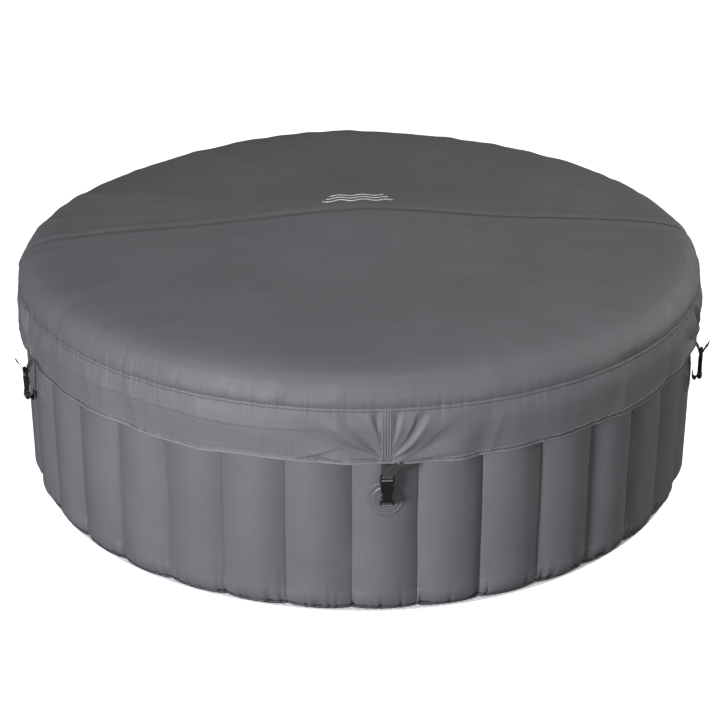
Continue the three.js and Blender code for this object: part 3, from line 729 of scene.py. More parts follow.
def cover_top(name, node, start):
    """One half of the top, from seam to seam, with a turned-in allowance at its edge."""
    rows = np.concatenate([np.linspace(0, 0.06, 22), np.linspace(0.066, 0.3, 40),
                           np.linspace(0.315, 1.082, 48)])
    angle = start + np.linspace(0, 180, 1081)
    points = cover_top_points(angle[None, :], rows)
    y = points[..., 1]
    toward = -1.0 if start == -90 else 1.0
    points[..., 1] = np.where(np.abs(y) < 0.3 * MM, toward * 0.3 * MM, y)
    allowance = points[:1] * [0.987, 0.987, 1] - [0, 0, 9 * MM]
    points = np.concatenate([allowance, points])
    made = grid_piece(name, points, "cover", "cover_fabric", COVER, closed=False, replaces=[node],
                      uv=points[..., :2])


def pulls_at_ties(angle, z):
    """Broad folds that fan out upwards from the foot of each stitched strip."""
    side = np.radians(off_station(angle))
    reach = np.hypot(side, z - HEM_Z)
    fan = np.arctan2(z - HEM_Z, np.abs(side) + 1e-6)
    wander = noise_round(angle, z, 0.2, 0.2, 24)
    wave = np.sin(fan * 11 + 1.6 * wander + np.where(side > 0, 1.3, 0.2))
    sharp = wave - 0.3 * np.abs(wave)
    ripple = 1 - 2.2 * np.abs(np.sin(fan * 9 + 3 * wander + np.where(side > 0, 0.4, 1.9)))
    folds = 0.052 * reach * sharp * bell(reach, 0.15) + 0.036 * reach * ripple * bell(reach, 0.12)
    folds = folds * np.where(side < 0, 1.5, 0.9)
    return folds * smoothstep((np.abs(side) - 0.014) / 0.012)


def lap(angle, z):
    """A pleat folded over itself: proud above a line that climbs from the hem, left of the front strip."""
    along = (np.asarray(angle) + LAP_ANGLE + 360) % 360 / LAP_REACH
    along = np.where(along > 2, -1.0, along)
    above = z - (HEM_Z - 0.004 + 0.040 * np.clip(along, 0, 1))
    fade = smoothstep(1.25 - along) * smoothstep((along + 0.9) / 0.8)
    return 5.5 * MM * fade * smoothstep(above / 0.004) * np.exp(-np.maximum(above, 0) / 0.030)


def skirt_shift(angle, z):
    """How far the skirt stands off its plain section: gathers, folds, the crease and pulls at the ties."""
    down = np.clip((SEAM_Z - z) / (SEAM_Z - HEM_Z), 0, 1)
    gathers = -seam_gathers(angle, np.maximum(SEAM_Z - z, 0))
    lean = np.asarray(angle) + 2.2 * noise_round(angle, z, 0.3, 0.3, 20) * down
    growing = 0.15 * smoothstep(down * 6) + down**1.3
    drape = 6.0 * MM * noise_round(lean, z * 0.5, 0.075, 0.35, 21) * growing
    crisp = 1.8 * MM * (1 - 2.4 * np.abs(noise_round(lean, z * 0.7, 0.06, 0.16, 22))) * smoothstep(down * 3)
    hem_puckers = 1.3 * MM * noise_round(angle, z, 0.016, 0.08, 26) * np.exp(-(z - HEM_Z + 0.005) / 0.014)
    crease_z = CREASE_Z + 5 * MM * noise_round(angle, 0, 0.2, 1, 23)
    crease = 1.9 * MM * bell(z - crease_z, 0.011) * (z > crease_z) - 0.9 * MM * bell(z - crease_z, 4 * MM)
    crease = crease * (0.12 + 0.88 * bell(angle_gap(angle, -42), 34))
    stiff = 1 - 0.9 * bell(np.radians(off_station(angle)), 0.017)
    folds = gathers + drape + crisp + hem_puckers + crease
    return folds * stiff + pulls_at_ties(angle, z) * smoothstep(down / 0.22) + lap(angle, z)


def skirt_point(angle, down, proud=0.0):
    """A point on the skirt; down is 0 at the seam and 1 at the hem."""
    hem = HEM_Z - 5 * MM * np.cos(np.radians(angle)) + 4 * MM * noise_round(angle, 0, 0.12, 1, 25)
    z = SEAM_Z + (hem - SEAM_Z) * down
    radius = np.interp(z, SKIRT_SECTION[:, 0], SKIRT_SECTION[:, 1])
    return polar(angle, radius + skirt_shift(angle, z) + proud, z)


def cover_skirt():
    points = skirt_point(SKIRT_ANGLES[None, :], np.linspace(1, 0, 54)[:, None])
    uv = uv_grid(np.radians(SKIRT_ANGLES)[None, :], points[..., 2])
    made = grid_piece("skirt_cloth", points, "cover", "cover_fabric", SKIRT_CLOTH_PAINTED_LIGHT, replaces=["cover_skirt"], uv=uv)


def stitches(name, points, out, half, thick, thread):
    """One small lens of thread at every point, laid along the line."""
    along = normalise(np.gradient(points, axis=0))
    aside = normalise(np.cross(out, along))
    corners = np.stack([points - along * half, points + aside * thick, points + along * half,
                        points - aside * thick, points + out * thick], 1)
    faces = np.array([[0, 1, 4], [1, 2, 4], [2, 3, 4], [3, 0, 4]])
    every = faces[None] + (np.arange(len(points)) * 5)[:, None, None]
    piece(name, corners, every.reshape(-1, 3), "cover", "cover_fabric", thread)


def edge_seam():
    """The narrow lapped seam where skirt and top are sewn, with its two rows of stitches."""
    levels = [(0.066, -1.0), (0.055, 0.9), (0.028, 1.6), (0.0, 0.9), (-0.012, -1.0)]
    rows = [skirt_point(SKIRT_ANGLES, down, proud * MM) for down, proud in levels]
    grid_piece("skirt_edge_seam", np.stack(rows), "cover", "cover_fabric", SKIRT_CLOTH_PAINTED_LIGHT)
    for row, down in (("upper", 0.0), ("lower", 0.055)):
        line = skirt_point(np.arange(0, 360, 0.32), down, 1.2 * MM)
        stitches(f"edge_stitches_{row}", line, outward(line), 1.9 * MM, 1.0 * MM, DARK_THREAD)


def hem_binding():
    """Pale tape folded over the hem, with a dark zigzag sewn along its upper edge."""
    line = skirt_point(SKIRT_ANGLES, 1.0)
    section = [(0.8, 8.6), (2.2, 8.0), (2.6, -3.0), (1.4, -5.4), (-0.8, -5.4), (-1.8, -3.0), (-1.4, 7.0),
               (-0.4, 8.6)]
    tape = sweep(line, outward(line), upward(line), np.array(section) * MM, closed=True)
    piece("hem_tape", *tape, "cover", "cover_fabric", BINDING)
    zig_angle = np.arange(0, 360, 0.25)
    rise = np.where(np.arange(len(zig_angle)) % 2, 8.8, 0.5) * MM
    zigzag = skirt_point(zig_angle, 1.0, 3.0 * MM) + np.array([0, 0, 1]) * rise[:, None]
    sewn = sweep(zigzag, outward(zigzag), upward(zigzag), circle(0, 0, 1.3 * MM, 4), closed=True)
    piece("hem_overcast", *sewn, "cover", "cover_fabric", DARK_THREAD)


def skirt_strip(place, angle):
    """The stitched reinforcement above a buckle: four tucks between five rows of stitches."""
    across = np.linspace(-1, 1, 49)
    ridges = 0.4 * MM + 2.2 * MM * np.abs(np.sin((across + 1) * math.pi * 2))
    ridges[[0, -1]] = -0.5 * MM
    down = np.linspace(1.0, 0.03, 40)[:, None]
    at = angle + np.degrees(across * STRIP_WIDTH / 2)[None, :]
    wobble = 0.3 * MM * noise_round(at, down * 0.15, 0.01, 0.012, 28)
    points = skirt_point(at, down, ridges[None, :] + wobble)
    uv = uv_grid(across[None, :] * STRIP_WIDTH / 2, down * 0.15)
    grid_piece(f"skirt_strip_{place}", points, "cover", "cover_fabric", SKIRT_CLOTH_PAINTED_LIGHT, closed=False, uv=uv)
    for i, share in enumerate((-0.98, -0.5, 0.0, 0.5, 0.98)):
        row_angle = angle + math.degrees(share * STRIP_WIDTH / 2)
        line = skirt_point(row_angle, np.linspace(0.05, 0.96, 30), 0.9 * MM)
        stitches(f"strip_stitches_{place}_{i}", line, outward(line), 1.7 * MM, 0.6 * MM, GREY_THREAD)


def cross_seam():
    """The lapped seam across the top: a fold, a near-black strip along its front edge that is painted shadow
    under the lap, and a row of stitches on each side.
    """
    rows = np.linspace(0.004, 1.0815, 420)
    right = cover_top_points(np.array([[90.0]]), rows)[:, 0]
    left = cover_top_points(np.array([[-90.0]]), rows)[:, 0]
    line = np.vstack([left, right[::-1]])
    along = normalise(np.gradient(line, axis=0))
    aside = np.broadcast_to([0.0, -1.0, 0.0], line.shape)
    out = normalise(np.cross(aside, along))
    out = np.where(out[:, 2:] < 0, -out, out)
    fold = [(-9, -1.5), (-8, 1.2), (-4.5, 2.2), (0.0, 2.6), (3.2, 2.8), (4.0, 2.0), (4.2, -1.5)]
    # The second section is a dark strip of painted shadow where the lap's shade falls.
    shadow_strip = [(3.0, -1.5), (3.2, 1.6), (4.2, 2.6), (5.6, 2.4), (6.4, 1.2), (6.6, -1.5)]
    for name, section, look in (("cross_seam", fold, COVER), ("cross_seam_painted_shadow", shadow_strip, SEAM_SHADOW_CLOTH)):
        piece(name, *sweep(line, aside, out, np.array(section) * MM), "cover", "cover_fabric", look)
    count = 700
    dense = smooth_path(line[::4], count)
    share = np.linspace(0, 1, count)
    normal = np.stack([np.interp(share, np.linspace(0, 1, len(out)), values) for values in out.T], -1)
    for name, offset in (("front", 1.5 * MM), ("rear", -6.0 * MM)):
        points = dense + normal * 3.0 * MM + np.array([0, -offset, 0])
        stitches(f"cross_stitches_{name}", points, normal, 1.3 * MM, 0.5 * MM, GREY_THREAD)


def lid_bladder():
    """The air bladder under the cover, welded round its edge."""
    angle = np.arange(540) * 2 / 3
    under = [(r, 0.655 + 0.04 * (r / 0.83) ** 2) for r in (0.0, 0.1, 0.3, 0.5, 0.7, 0.8, 0.835)]
    edge = [(0.850, 0.7015), (0.862, 0.7015), (0.862, 0.7030), (0.850, 0.7030)]
    over = [(0.835, 0.708), (0.80, 0.713), (0.7, 0.718), (0.5, 0.730), (0.3, 0.744), (0.1, 0.762),
            (0.0, 0.765)]
    profile = np.array(under + edge + over)
    radius, z = profile[:, :1], profile[:, 1:]
    gathers = 4 * MM * noise_round(angle[None, :], z, 0.03, 5, 30) * bell(radius - 0.82, 0.06)
    lower = np.arange(len(profile))[:, None] < len(under)
    sunk = np.maximum(shoulder_sag(angle[None, :]) - 4 * MM, 0) * bell(radius - 0.9, 0.25)
    points = polar(angle[None, :], radius, z + np.where(lower, gathers, -np.abs(gathers)) - sunk)
    made = grid_piece("bladder", points, "cover", "bladder_pvc", PVC_BLADDER, replaces=["lid_bladder"])


def wave_mark():
    """A plain mark of three waves, printed behind the seam near the middle."""
    strokes = []
    for i in range(3):
        x = np.linspace(-0.105 + 0.012 * i, 0.105 - 0.012 * i, 60)
        y = 0.075 + 0.026 * i + 0.007 * np.sin(x * 2 * math.pi / 0.07)
        angle = np.degrees(np.arctan2(x, -y))
        reach = np.hypot(x, y)
        rows = np.interp(-reach, -TOP_SECTION[:, 0], FROM_EDGE)
        line = np.stack([cover_top_points(np.array([[a]]), np.array([d]))[0, 0]
                         for a, d in zip(angle, rows)])
        aside = normalise(np.cross(upward(line), np.gradient(line, axis=0)))
        section = np.array([(-3.2, 0.1), (-3.0, 0.8), (3.0, 0.8), (3.2, 0.1)]) * MM
        strokes.append(sweep(line, aside, upward(line), section))
    piece("wave_mark", *joined(*strokes), "cover", "cover_fabric", PRINT)


# ---- tie-downs ----
def wall_front(x, z, angle):
    """Radius of the wall at a tie-down, x metres to the side of its middle."""
    at = angle + np.degrees(np.asarray(x) / WALL_R)
    off = ((at / RIB_ANGLE + 0.5) % 1 - 0.5) * 2
    return wall_radius(at, off, np.asarray(z, float))


def patch(place, angle):
    """The round patch welded to the wall, embossed with an inner ring."""
    turns = np.radians(np.arange(96) * 3.75)
    profile = [(0.0505, -1.5), (0.0507, 0.9), (0.0495, 1.5), (0.0470, 1.5), (0.0400, 1.3), (0.0388, 0.5),
               (0.0378, 0.5), (0.0366, 2.6), (0.0345, 3.2), (0.0320, 2.4), (0.0200, 2.9), (0.0080, 3.2),
               (0.0, 3.2)]
    rows = []
    for radius, proud in profile:
        x = radius * np.sin(turns)
        z = PATCH_Z - radius * np.cos(turns)
        front = wall_front(x, z, angle) + proud * MM
        rows.append(np.stack([x, -np.sqrt(np.maximum(front**2 - x**2, 0)), z], -1))
    points = turn(np.stack(rows), angle)
    grid_piece(f"patch_{place}", points, "tub", "tub_pvc", PVC_PATCH, replaces=[f"anchor_patch_{place}"])


def ribbon(name, path, body, angle, replaces, lean=None):
    """Webbing along (x, y, z) points at the front, carried round; lean gives its crosswise direction."""
    path = smooth_path(path, 90)
    along = normalise(np.gradient(path, axis=0))
    aside = np.broadcast_to([1.0, 0.0, 0.0], path.shape) if lean is None else normalise(lean(path))
    out = normalise(np.cross(aside, along))
    half, edge = WEBBING / 2, WEBBING_THICK / 2
    section = np.array([(-half, 0), (-half + edge, -edge), (half - edge, -edge), (half, 0),
                        (half - edge, edge), (-half + edge, edge)])
    fine = np.vstack([np.linspace(a, b, 5, endpoint=False)
                      for a, b in zip(section, np.roll(section, -1, 0))])
    points, faces = sweep(path, aside, out, fine)
    length = np.linspace(0, lengths_along(path)[-1], len(path))[:, None]
    uv = uv_grid(fine[None, :, 0], length)
    piece(name, turn(points, angle), faces, body, "webbing", STRAP, replaces=replaces, uv=uv)


def side(points_mm):
    """(x, y, z) metres from [y, z] or [x, y, z] millimetres."""
    return np.array([[0.0, *p] if len(p) == 2 else p for p in points_mm]) * MM


STRAP_TAILS = {
    "front": [[3, -1037, 444], [9, -1038, 452], [18, -1036, 460], [30, -1030, 466]],
    "right": [[0, -1036, 444], [-2, -1041, 452], [-4, -1044, 459], [-3, -1046, 464]],
    "back_right": [[0, -1037, 446], [0, -1044, 460], [0, -1050, 474], [0, -1050, 486]],
    "back_left": [[0, -1036, 444], [-3, -1042, 455], [-4, -1047, 466], [-3, -1050, 474]],
    "left": [[0, -1036, 444], [0, -1040, 454], [2, -1045, 464], [5, -1051, 472]],
}


def strap(place, angle):
    """Webbing that hangs from the hem, round the upper buckle's bars, and ends in a loose tail."""
    down = [[-1000.5, 556], [-1000.5, 520], [-1000.5, 480], [-1002, 466], [-1007, 455], [-1013.5, 446],
            [-1017.2, 438], [-1018.0, 432.8], [-1020.5, 429.6], [-1024, 429.2], [-1028, 429.6],
            [-1030.6, 432.2], [-1033, 437]]
    lean = fold_right if place == "front" else None
    path = side(down + STRAP_TAILS[place])
    ribbon(f"strap_webbing_{place}", path, "cover", angle, [f"strap_{place}"], lean=lean)


def fold_right(path):
    """The webbing's crosswise direction on the front tie-down, whose tail is folded over to the right."""
    share = smoothstep((path[:, :1] - 0.001) / 0.012)
    return (1 - share) * [1.0, 0.0, 0.0] + share * [0.62, 0.0, -0.78]


def anchor_loop(place, angle):
    """The short loop of webbing from the patch through the lower buckle's foot."""
    path = [[-1003.6, 366], [-1004.2, 353], [-1007, 345.6], [-1012, 343], [-1016, 347], [-1017.2, 353.5],
            [-1019.2, 357.8], [-1024.5, 358.6], [-1029.2, 358], [-1031.2, 354.5], [-1030.4, 350],
            [-1027.0, 348.3], [-1021, 348.2]]
    ribbon(f"anchor_webbing_{place}", side(path), "tub", angle, [])


def crossbar(z0, z1, proud, thick, bevel):
    """A bar across a buckle half, in front of its middle. Its callers give it the pale polished plastic,
    whose grey is a painted highlight.
    """
    outline = rounded_rectangle(-0.0150, 0.0150, z0, z1, 2 * MM)
    return plate([outline], BUCKLE_Y - proud * MM, thick * MM, bevel * MM)


def buckle_lower(place, angle):
    """The socket half: two faces with waisted sides, and a foot with a slot for the webbing."""
    face = soft_outline([[12.5, 412], [17, 409.5], [17.2, 403], [15.6, 396], [11.8, 388], [11.2, 380],
                         [12.2, 371], [17.5, 364.5], [19, 361], [18.6, 353], [16, 350.8]])
    slot_hole = slot_outline(15.6, 355.8, 361.2)
    thumb = rounded_rectangle(-0.0045, 0.0045, 0.399, 0.4065, 2 * MM)
    shells = [plate([face, slot_hole], BUCKLE_Y + y * MM, 3.0 * MM, 0.8 * MM) for y in (-4.3, 4.0)]
    core = soft_outline([[10.8, 383], [10.6, 378], [11.6, 371], [16.8, 364.3], [18.2, 361], [17.8, 353.4],
                         [15.6, 351.6]])
    middle = plate([core, slot_hole], BUCKLE_Y, 6.2 * MM, 0.3 * MM)
    ring = plate([rounded_rectangle(-0.0065, 0.0065, 0.3965, 0.409, 3.5 * MM), thumb], BUCKLE_Y - 5.6 * MM,
                 1.4 * MM, 0.3 * MM)
    bar = crossbar(0.3500, 0.3556, 6.2, 4.6, 2.0)
    # The foot bar's pale grey is a painted highlight.
    set_round(f"buckle_foot_bar_{place}", bar, angle, "tub", "black_plastic", GLOSS_PAINTED_HIGHLIGHT)
    set_round(f"buckle_lower_{place}", joined(*shells, middle, ring), angle, "tub", "black_plastic", BLACK,
              f"buckle_female_{place}")


def buckle_upper(place, angle):
    """The plug half: a ladder frame for the webbing, a tongue and two latch arms."""
    frame_outline = soft_outline([[17.2, 437.4], [19, 435], [19, 417], [17, 413.4]])
    ladder = plate([frame_outline, slot_outline(15.7, 417.4, 421.6), slot_outline(15.7, 427, 431.4)],
                   BUCKLE_Y, 8.6 * MM, 1.2 * MM)
    shoulder_outline = soft_outline([[16.6, 418], [17.6, 415], [14.5, 412.6]])
    shoulder = plate([shoulder_outline], BUCKLE_Y, 10.6 * MM, 1.0 * MM)
    tongue = plate([soft_outline([[3, 414], [3, 388], [1.6, 386]], 1 * MM)], BUCKLE_Y, 4.4 * MM, 0.5 * MM)
    arm = [[8.2, 414], [8.2, 392], [8.8, 384.6], [11.6, 384.2], [14.6, 387.4], [16.2, 391.2], [15.8, 394.4],
           [12.6, 397.2], [11.4, 401], [11.4, 414]]
    arms = [plate([np.array(arm) * MM * [sx, 1]], BUCKLE_Y, 4.6 * MM, 0.6 * MM) for sx in (1, -1)]
    bar = crossbar(0.4212, 0.4262, 4.2, 4.4, 1.9)
    # The ladder bar's pale grey is a painted highlight.
    set_round(f"buckle_ladder_bar_{place}", bar, angle, "cover", "black_plastic", GLOSS_PAINTED_HIGHLIGHT)
    set_round(f"buckle_upper_{place}", joined(ladder, shoulder, tongue, *arms), angle, "cover",
              "black_plastic", BLACK, f"buckle_male_{place}")


# ---- valves, ports and the heater unit ----
def webs():
    """The welded webs that divide the wall into air cells."""
    inner, outer = 0.8022, 0.9460
    radius = np.linspace(inner, outer, 6)
    z = np.linspace(0.012, WALL_TOP_Z, 12)
    across = np.sin((radius[None, :] - inner) / (outer - inner) * math.pi)
    bow = 2 * MM * np.sin((z[:, None] / 0.64) * math.pi) * across
    grid = np.stack(np.broadcast_arrays(bow, -radius[None, :], z[:, None]), -1)
    faces = grid_faces(len(z), len(radius), False)
    strips = [(turn(grid, (i + 0.5) * RIB_ANGLE), faces) for i in range(RIBS)]
    piece("wall_webs", *joined(*strips), "tub", "tub_pvc", PVC, replaces=["chamber_webs"])


def air_valve():
    """The inflation valve low on the wall: a seat, a spring stem and a pull-off cap with a grip bar."""
    z = VALVE_Z
    plastic = ("black_plastic", BLACK)
    seat = turned_out(ringed([(26, 978), (27, 999), (26, 1005.2), (16, 1006.4), (15.5, 1013.6),
                              (10.8, 1013.6), (10.8, 978)]), 0, z)
    set_round("valve_seat", seat, VALVE_ANGLE, "tub", *plastic, "air_valve_body")
    stem = turned_out(ringed([(0, 980), (10, 980), (10, 984.6), (4, 985.4), (3.8, 1008.6),
                              (0, 1009.2)]), 0, z)
    set_round("valve_stem", stem, VALVE_ANGLE, "air_valve_stem", *plastic, "air_valve_stem")
    cap = turned_out(ringed([(16.6, 1007), (19.6, 1006.8), (20, 1020), (17, 1022.4), (0, 1022.4)]), 0, z)
    inner = turned_out(ringed([(0, 1018.6), (16.5, 1018.8), (16.6, 1007)]), 0, z)
    grip = rounded_rectangle(-0.0022, 0.0022, z - 0.017, z + 0.017, 2.1 * MM)
    bar = plate([grip], -1.0238, 4.2 * MM, 0.9 * MM)
    set_round("valve_cap", joined(cap, inner, bar), VALVE_ANGLE, "air_valve_cap", *plastic, "air_valve_cap")


def toothed(profile, x, z, teeth, deep, low, high):
    """A turned shape whose outside between two radii from the tub's axis has grips all round."""
    points, faces = turned_out(profile, x, z, teeth * 6)
    radial = points[:, [0, 2]] - [x, z]
    reach = np.linalg.norm(radial, axis=1)
    wave = np.cos(np.arctan2(radial[:, 1], radial[:, 0]) * teeth)
    gripped = (-points[:, 1] > low) & (-points[:, 1] < high) & (reach > reach.max() * 0.8)
    share = np.where(gripped, deep * np.clip(wave * 1.6, -1, 1) / np.maximum(reach, 1e-6), 0)
    points[:, [0, 2]] += radial * share[:, None]
    return points, faces


def drain():
    """The drain pipe through the wall at its foot, with a ribbed screw cap."""
    spout = turned_out(ringed([(22, 776), (22, 988), (30.4, 992), (30, 1001.6), (22, 1002.6), (21.6, 1019.4),
                               (16.8, 1019.4), (16.8, 776)]), 0, DRAIN_Z)
    set_round("drain_spout", spout, DRAIN_ANGLE, "tub", "grey_plastic", CASE, "drain_body")
    cap = toothed(ringed([(22.6, 1003.4), (28.6, 1003.2), (29, 1027), (26.5, 1029.6), (0, 1029.6)]), 0,
                  DRAIN_Z, 14, 0.9 * MM, 1.005, 1.0275)
    inner = turned_out(ringed([(0, 1024.6), (22.5, 1024.8), (22.6, 1003.4)]), 0, DRAIN_Z)
    set_round("drain_screw_cap", joined(cap, inner), DRAIN_ANGLE, "drain_cap", "grey_plastic", CASE,
              "drain_cap")


def ports():
    """Water and air pipes through the wall to the unit, with the union nuts on the water pipes."""
    water = ringed([(37, 774.4), (38, 780), (37.6, 800), (22, 802), (22, 976), (37.6, 978), (38, 1004),
                    (37, 1008), (21.2, 1009), (21, 1077.6), (17, 1077.6), (17, 774)])
    union = ringed([(21.8, 1034.6), (30, 1034.4), (31.4, 1037), (31.4, 1060), (29.6, 1061.8),
                    (21.8, 1061.6)])
    for name, x in (("suction", PORT_X), ("return", -PORT_X)):
        pipe = turned_out(water, x, PORT_Z)
        set_round(f"{name}_pipe", pipe, UNIT_ANGLE, "tub", "pale_plastic", PALE, f"{name}_fitting")
        nut = toothed(union, x, PORT_Z, 18, 1.3 * MM, 1.036, 1.0605)
        node = f"union_nut_{name}"
        set_round(f"{name}_nut", nut, UNIT_ANGLE, node, "grey_plastic", CASE, node)
    collar = turned_out(ringed([(13.6, 744), (14.4, 776), (27, 776.4), (28, 780), (27.6, 803), (14.4, 805),
                                (14.4, 960), (27.6, 962), (28, 986), (27.6, 990), (14.2, 992), (14, 1077.6),
                                (10, 1077.6), (10, 744)]), 0, PORT_Z, 48)
    points, faces = lathe(ringed([(0, 31.5), (12, 31.6), (12, 112), (9, 119), (0, 121)]), 48)
    air = joined(collar, (points - [0, BUBBLE_R, 0], faces))
    set_round("air_pipe", air, UNIT_ANGLE, "tub", "pale_plastic", PALE, "air_fitting")


def filter_parts():
    """The filter inside the suction port: a can on the wall, a pleated cartridge and a grille over it."""
    x, z = PORT_X, PORT_Z
    can = turned_out(ringed([(57.6, 690.4), (57.6, 767), (18, 768), (18, 773), (60, 773.2), (62, 770),
                             (62, 700), (66, 699), (66, 693), (62, 692), (61.6, 690.4)]), x, z)
    set_round("filter_can", can, UNIT_ANGLE, "tub", "pale_plastic", PALE, "filter_housing")
    paper = ringed([(20, 698.6), (51, 698.6), (51.6, 761.4), (20, 761.4)], 0.8 * MM)
    pleats, faces = turned_out(paper, x, z, 288)
    radial = pleats[:, [0, 2]] - [x, z]
    reach = np.linalg.norm(radial, axis=1)
    fold, folds = 1.6 * MM, 48
    ripple = fold * np.cos(np.arctan2(radial[:, 1], radial[:, 0]) * folds) * (reach > 0.045)
    pleats[:, [0, 2]] -= radial / reach[:, None] * (fold * (reach > 0.045) - ripple * 0.9)[:, None]
    set_round("filter_pleated", (pleats, faces), UNIT_ANGLE, "filter_cartridge", "filter_pleats", PLEATS,
              "filter_cartridge")
    holes = [circle(hx, hz, 0.009, 20) for hx, hz in circle(x, z, 0.038, 6)]
    face = plate([circle(x, z, 0.0655, 96)] + holes, -0.6862, 5.6 * MM, 1.0 * MM)
    hub = turned_out(ringed([(0, 679.4), (14, 679.6), (16, 683.4), (0, 683.6)]), x, z, 48)
    set_round("filter_grille", joined(face, hub), UNIT_ANGLE, "filter_cap", "pale_plastic", PALE,
              "filter_cap")


def on_side(outline, x, thickness, bevel):
    """A plate that stands across the unit, from an outline in Y and Z."""
    points, faces = plate([outline], 0, thickness, bevel)
    return np.stack([x + points[:, 1], points[:, 0], points[:, 2]], -1), faces


def unit_case():
    """The unit's hood with louvres on one side and ears for the handle, and its tray on four feet."""
    corner = 0.040
    shell = block(-UNIT_X, UNIT_X, UNIT_FAR, UNIT_NEAR, corner, [
        (UNIT_SPLIT + 0.0006, 0.002), (UNIT_SPLIT + 0.003, 0.0), (0.130, 0.0), (0.250, 0.0), (0.366, 0.0),
        (0.3755, 0.0008), (0.3825, 0.0035), (0.3875, 0.0080), (0.3905, 0.0140),
        (UNIT_TOP - 0.0002, 0.022), (UNIT_TOP, 0.034)])
    fins = []
    for z in np.arange(0.124, 0.235, 0.022):
        outline = rounded_rectangle(-1.288, -1.152, z - 0.005, z + 0.005, 4.5 * MM)
        points, faces = on_side(outline, -UNIT_X - 0.0004, 3 * MM, 1.2 * MM)
        fins.append((points, [f[::-1] for f in faces]))
    lug = rounded_rectangle(-1.389, -1.368, 0.322, 0.338, 5 * MM)
    ears = [on_side(lug, x, 10 * MM, 1.5 * MM) for x in (-0.078, 0.078)]
    hood = joined(shell, *fins, *ears)
    set_round("unit_hood", hood, UNIT_ANGLE, "tub", "grey_plastic", CASE, "unit_shell")
    tray = block(-UNIT_X, UNIT_X, UNIT_FAR, UNIT_NEAR, corner, [
        (0.008, 0.012), (0.010, 0.004), (0.014, 0.0), (0.060, 0.0), (UNIT_SPLIT - 0.002, 0.0),
        (UNIT_SPLIT, 0.0025)])
    points, faces = lathe(ringed([(0, 0), (18, 0), (17.5, 9.5), (0, 9.5)], 1.5 * MM), 40)
    feet = [(points + [x, y, 0], faces) for x in (-0.155, 0.155) for y in (-1.325, -1.117)]
    set_round("unit_tray", joined(tray, *feet), UNIT_ANGLE, "tub", "grey_plastic", CASE, "unit_base")


def unit_controls():
    """The panel on top of the unit: a screen and four push buttons in raised rings."""
    top = UNIT_TOP
    plate_levels = [(top + 0.0004, 0.001), (top + 0.0012, 0.0), (top + 0.003, 0.0004), (top + 0.004, 0.0022)]
    panel = block(-0.080, 0.080, PANEL_Y - 0.045, PANEL_Y + 0.045, 0.012, plate_levels)
    screen = block(-0.045, 0.045, PANEL_Y + 0.004, PANEL_Y + 0.028, 0.003,
                   [(top + 0.0035, 0.0), (top + 0.0043, 0.0002), (top + 0.0045, 0.001)])
    spots = [np.array([-0.048 + i * 0.032, PANEL_Y - 0.018, top]) for i in range(len(BUTTONS))]
    points, faces = lathe(ringed([(8.4, 0), (11.2, 0), (10.8, 0.9), (8.8, 0.9), (8.4, 0)], 0.3 * MM), 48)
    bezels = [(points + spot + [0, 0, 0.0038], faces) for spot in spots]
    set_round("control_panel", joined(panel, *bezels), UNIT_ANGLE, "tub", "pale_plastic", PALE, "unit_panel")
    set_round("control_screen", screen, UNIT_ANGLE, "tub", "black_plastic", BLACK)
    points, faces = lathe(ringed([(0, -12), (10.2, -12), (10.2, -9.5), (8.2, -9), (8.2, 4.8), (6, 5.6),
                                  (0, 5)], 0.8 * MM), 48)
    for name, spot in zip(BUTTONS, spots):
        node = f"button_{name}"
        set_round(f"push_{node}", (points + spot, faces), UNIT_ANGLE, node, "pale_plastic", PALE, node)


def unit_handle():
    """A bail that swings on pins in the hood's ears, thicker where it is gripped."""
    y, z = UNIT_FAR - 0.012, 0.330
    half = np.array([[0.056, y - 0.004, z - 0.062], [0.067, y - 0.002, z - 0.052], [0.068, y, z - 0.030],
                     [0.068, y, z]])
    path = smooth_path(np.vstack([(half * [-1, 1, 1])[::-1], half]), 80)
    along = normalise(np.gradient(path, axis=0))
    out = normalise(np.cross(along, [0.0, 1.0, 0.0]))
    back = np.cross(out, along)
    section = circle(0, 0, 1, 18)
    grip = 0.0038 + 0.0035 * smoothstep((0.062 - np.abs(path[:, 0])) / 0.01)
    spokes = back[:, None] * section[None, :, :1] + out[:, None] * section[None, :, 1:]
    points = path[:, None] + spokes * grip[:, None, None]
    bail = (points, tube_faces(len(path), len(section)))
    pin, faces = lathe(ringed([(0, 63.5), (4.5, 63.5), (3, 73.5), (3, 85.5), (0, 85.5)], 0.8 * MM), 24)
    px, py, pz = pin.T
    pins = [(np.stack([sx * pz, py + y, z + px], -1), faces[:, ::sx]) for sx in (-1, 1)]
    set_round("carry_handle", joined(bail, *pins), UNIT_ANGLE, "unit_handle", "grey_plastic", CASE,
              "unit_handle")


def unit_inside():
    """The parts shut inside the unit, and the bladder's valve, keep their CAD shapes."""
    looks = {"heater": STEEL, "pump_body": BLACK, "pump_impeller": PALE, "blower_body": BLACK,
             "blower_fan": PALE, "circuit_board": BOARD, "cord_gland": BLACK, "lid_bladder_valve": BLACK}
    for node, look in looks.items():
        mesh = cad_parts[node].data
        mesh.materials.clear()
        mesh.materials.append(look)


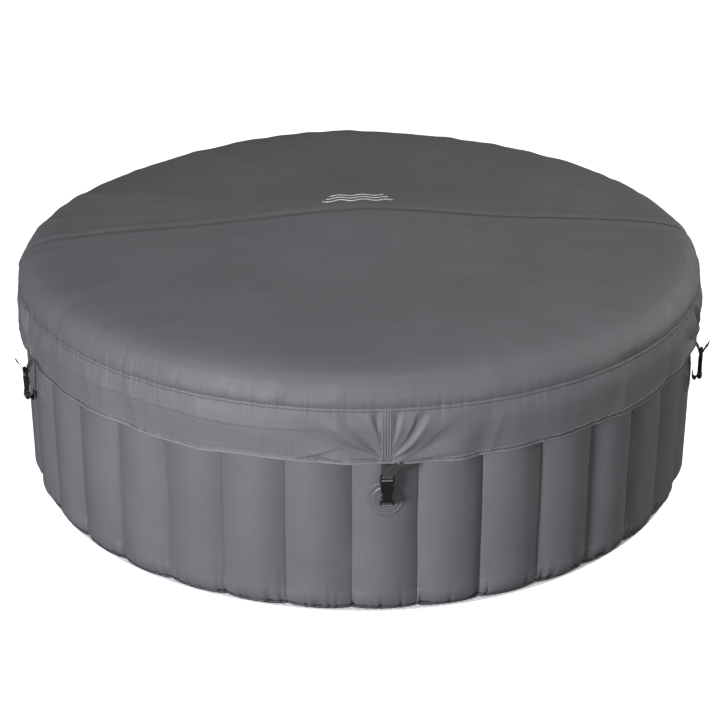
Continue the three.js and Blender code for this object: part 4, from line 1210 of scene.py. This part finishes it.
# ---- stage ----
def stage():
    """A white floor just under the tub, which lights nothing and isn't mirrored in it."""
    mesh = bpy.data.meshes.new("floor")
    half, z = 40, -0.5 * MM
    corners = [(-half, -half, z), (half, -half, z), (half, half, z), (-half, half, z)]
    mesh.from_pydata(corners, [], [(0, 1, 2, 3)])
    floor = bpy.data.objects.new("floor", mesh)
    bpy.context.scene.collection.objects.link(floor)
    look = Look("studio_floor", 0.9)
    look.colour(look.noise(0.6, 2.0), (0.93, 0.93, 0.93), (0.95, 0.95, 0.95))
    look.shader.inputs["Emission Color"].default_value = (1, 1, 1, 1)
    look.shader.inputs["Emission Strength"].default_value = 0.93
    mesh.materials.append(look.done(0.02))
    floor.visible_diffuse = False
    floor.visible_glossy = False


def aimed(name, data, azimuth, elevation, distance, target):
    """An object that looks at the target; azimuth 0 is in front, and 90 is on the right."""
    a, e = math.radians(azimuth), math.radians(elevation)
    back = Vector((math.sin(a) * math.cos(e), -math.cos(a) * math.cos(e), math.sin(e)))
    made = bpy.data.objects.new(name, data)
    made.location = Vector(target) + back * distance
    made.rotation_euler = (-back).to_track_quat("-Z", "Y").to_euler()
    bpy.context.scene.collection.objects.link(made)
    return made


def lights():
    """Square softboxes round the tub, in a dim white world."""
    for name, azimuth, elevation, distance, size, power, colour in LAMPS:
        light = bpy.data.lights.new(name, "AREA")
        light.size = size
        light.energy = power
        light.color = colour
        aimed(name, light, azimuth, elevation, distance, LAMP_TARGET)
    world = bpy.data.worlds.new("studio")
    world.use_nodes = True
    world.node_tree.nodes["Background"].inputs["Color"].default_value = (1, 1, 1, 1)
    world.node_tree.nodes["Background"].inputs["Strength"].default_value = 0.06
    bpy.context.scene.world = world
    bpy.context.scene.view_settings.view_transform = "Standard"


def camera():
    data = bpy.data.cameras.new("camera")
    data.lens = CAMERA_LENS
    data.sensor_width = 36
    data.shift_x, data.shift_y = CAMERA_SHIFT
    data.clip_end = 200
    made = aimed("camera", data, CAMERA_AZIMUTH, CAMERA_ELEVATION, CAMERA_DISTANCE, CAMERA_TARGET)
    bpy.context.scene.camera = made


camera()
lights()
stage()

ground_mat()
base_sheet()
foot_lip()
outer_wall()
inner_wall()
webs()
rim_ring()
bubble_ring()

lid_bladder()
cover_top("top_cloth_front", "cover_top_front", -90)
cover_top("top_cloth_rear", "cover_top_rear", 90)
edge_seam()
cover_skirt()
hem_binding()
cross_seam()
wave_mark()

for place, angle in STATIONS.items():
    skirt_strip(place, angle)
    patch(place, angle)
    anchor_loop(place, angle)
    buckle_lower(place, angle)
    buckle_upper(place, angle)
    strap(place, angle)

air_valve()
drain()
ports()
filter_parts()
unit_case()
unit_controls()
unit_handle()
unit_inside()
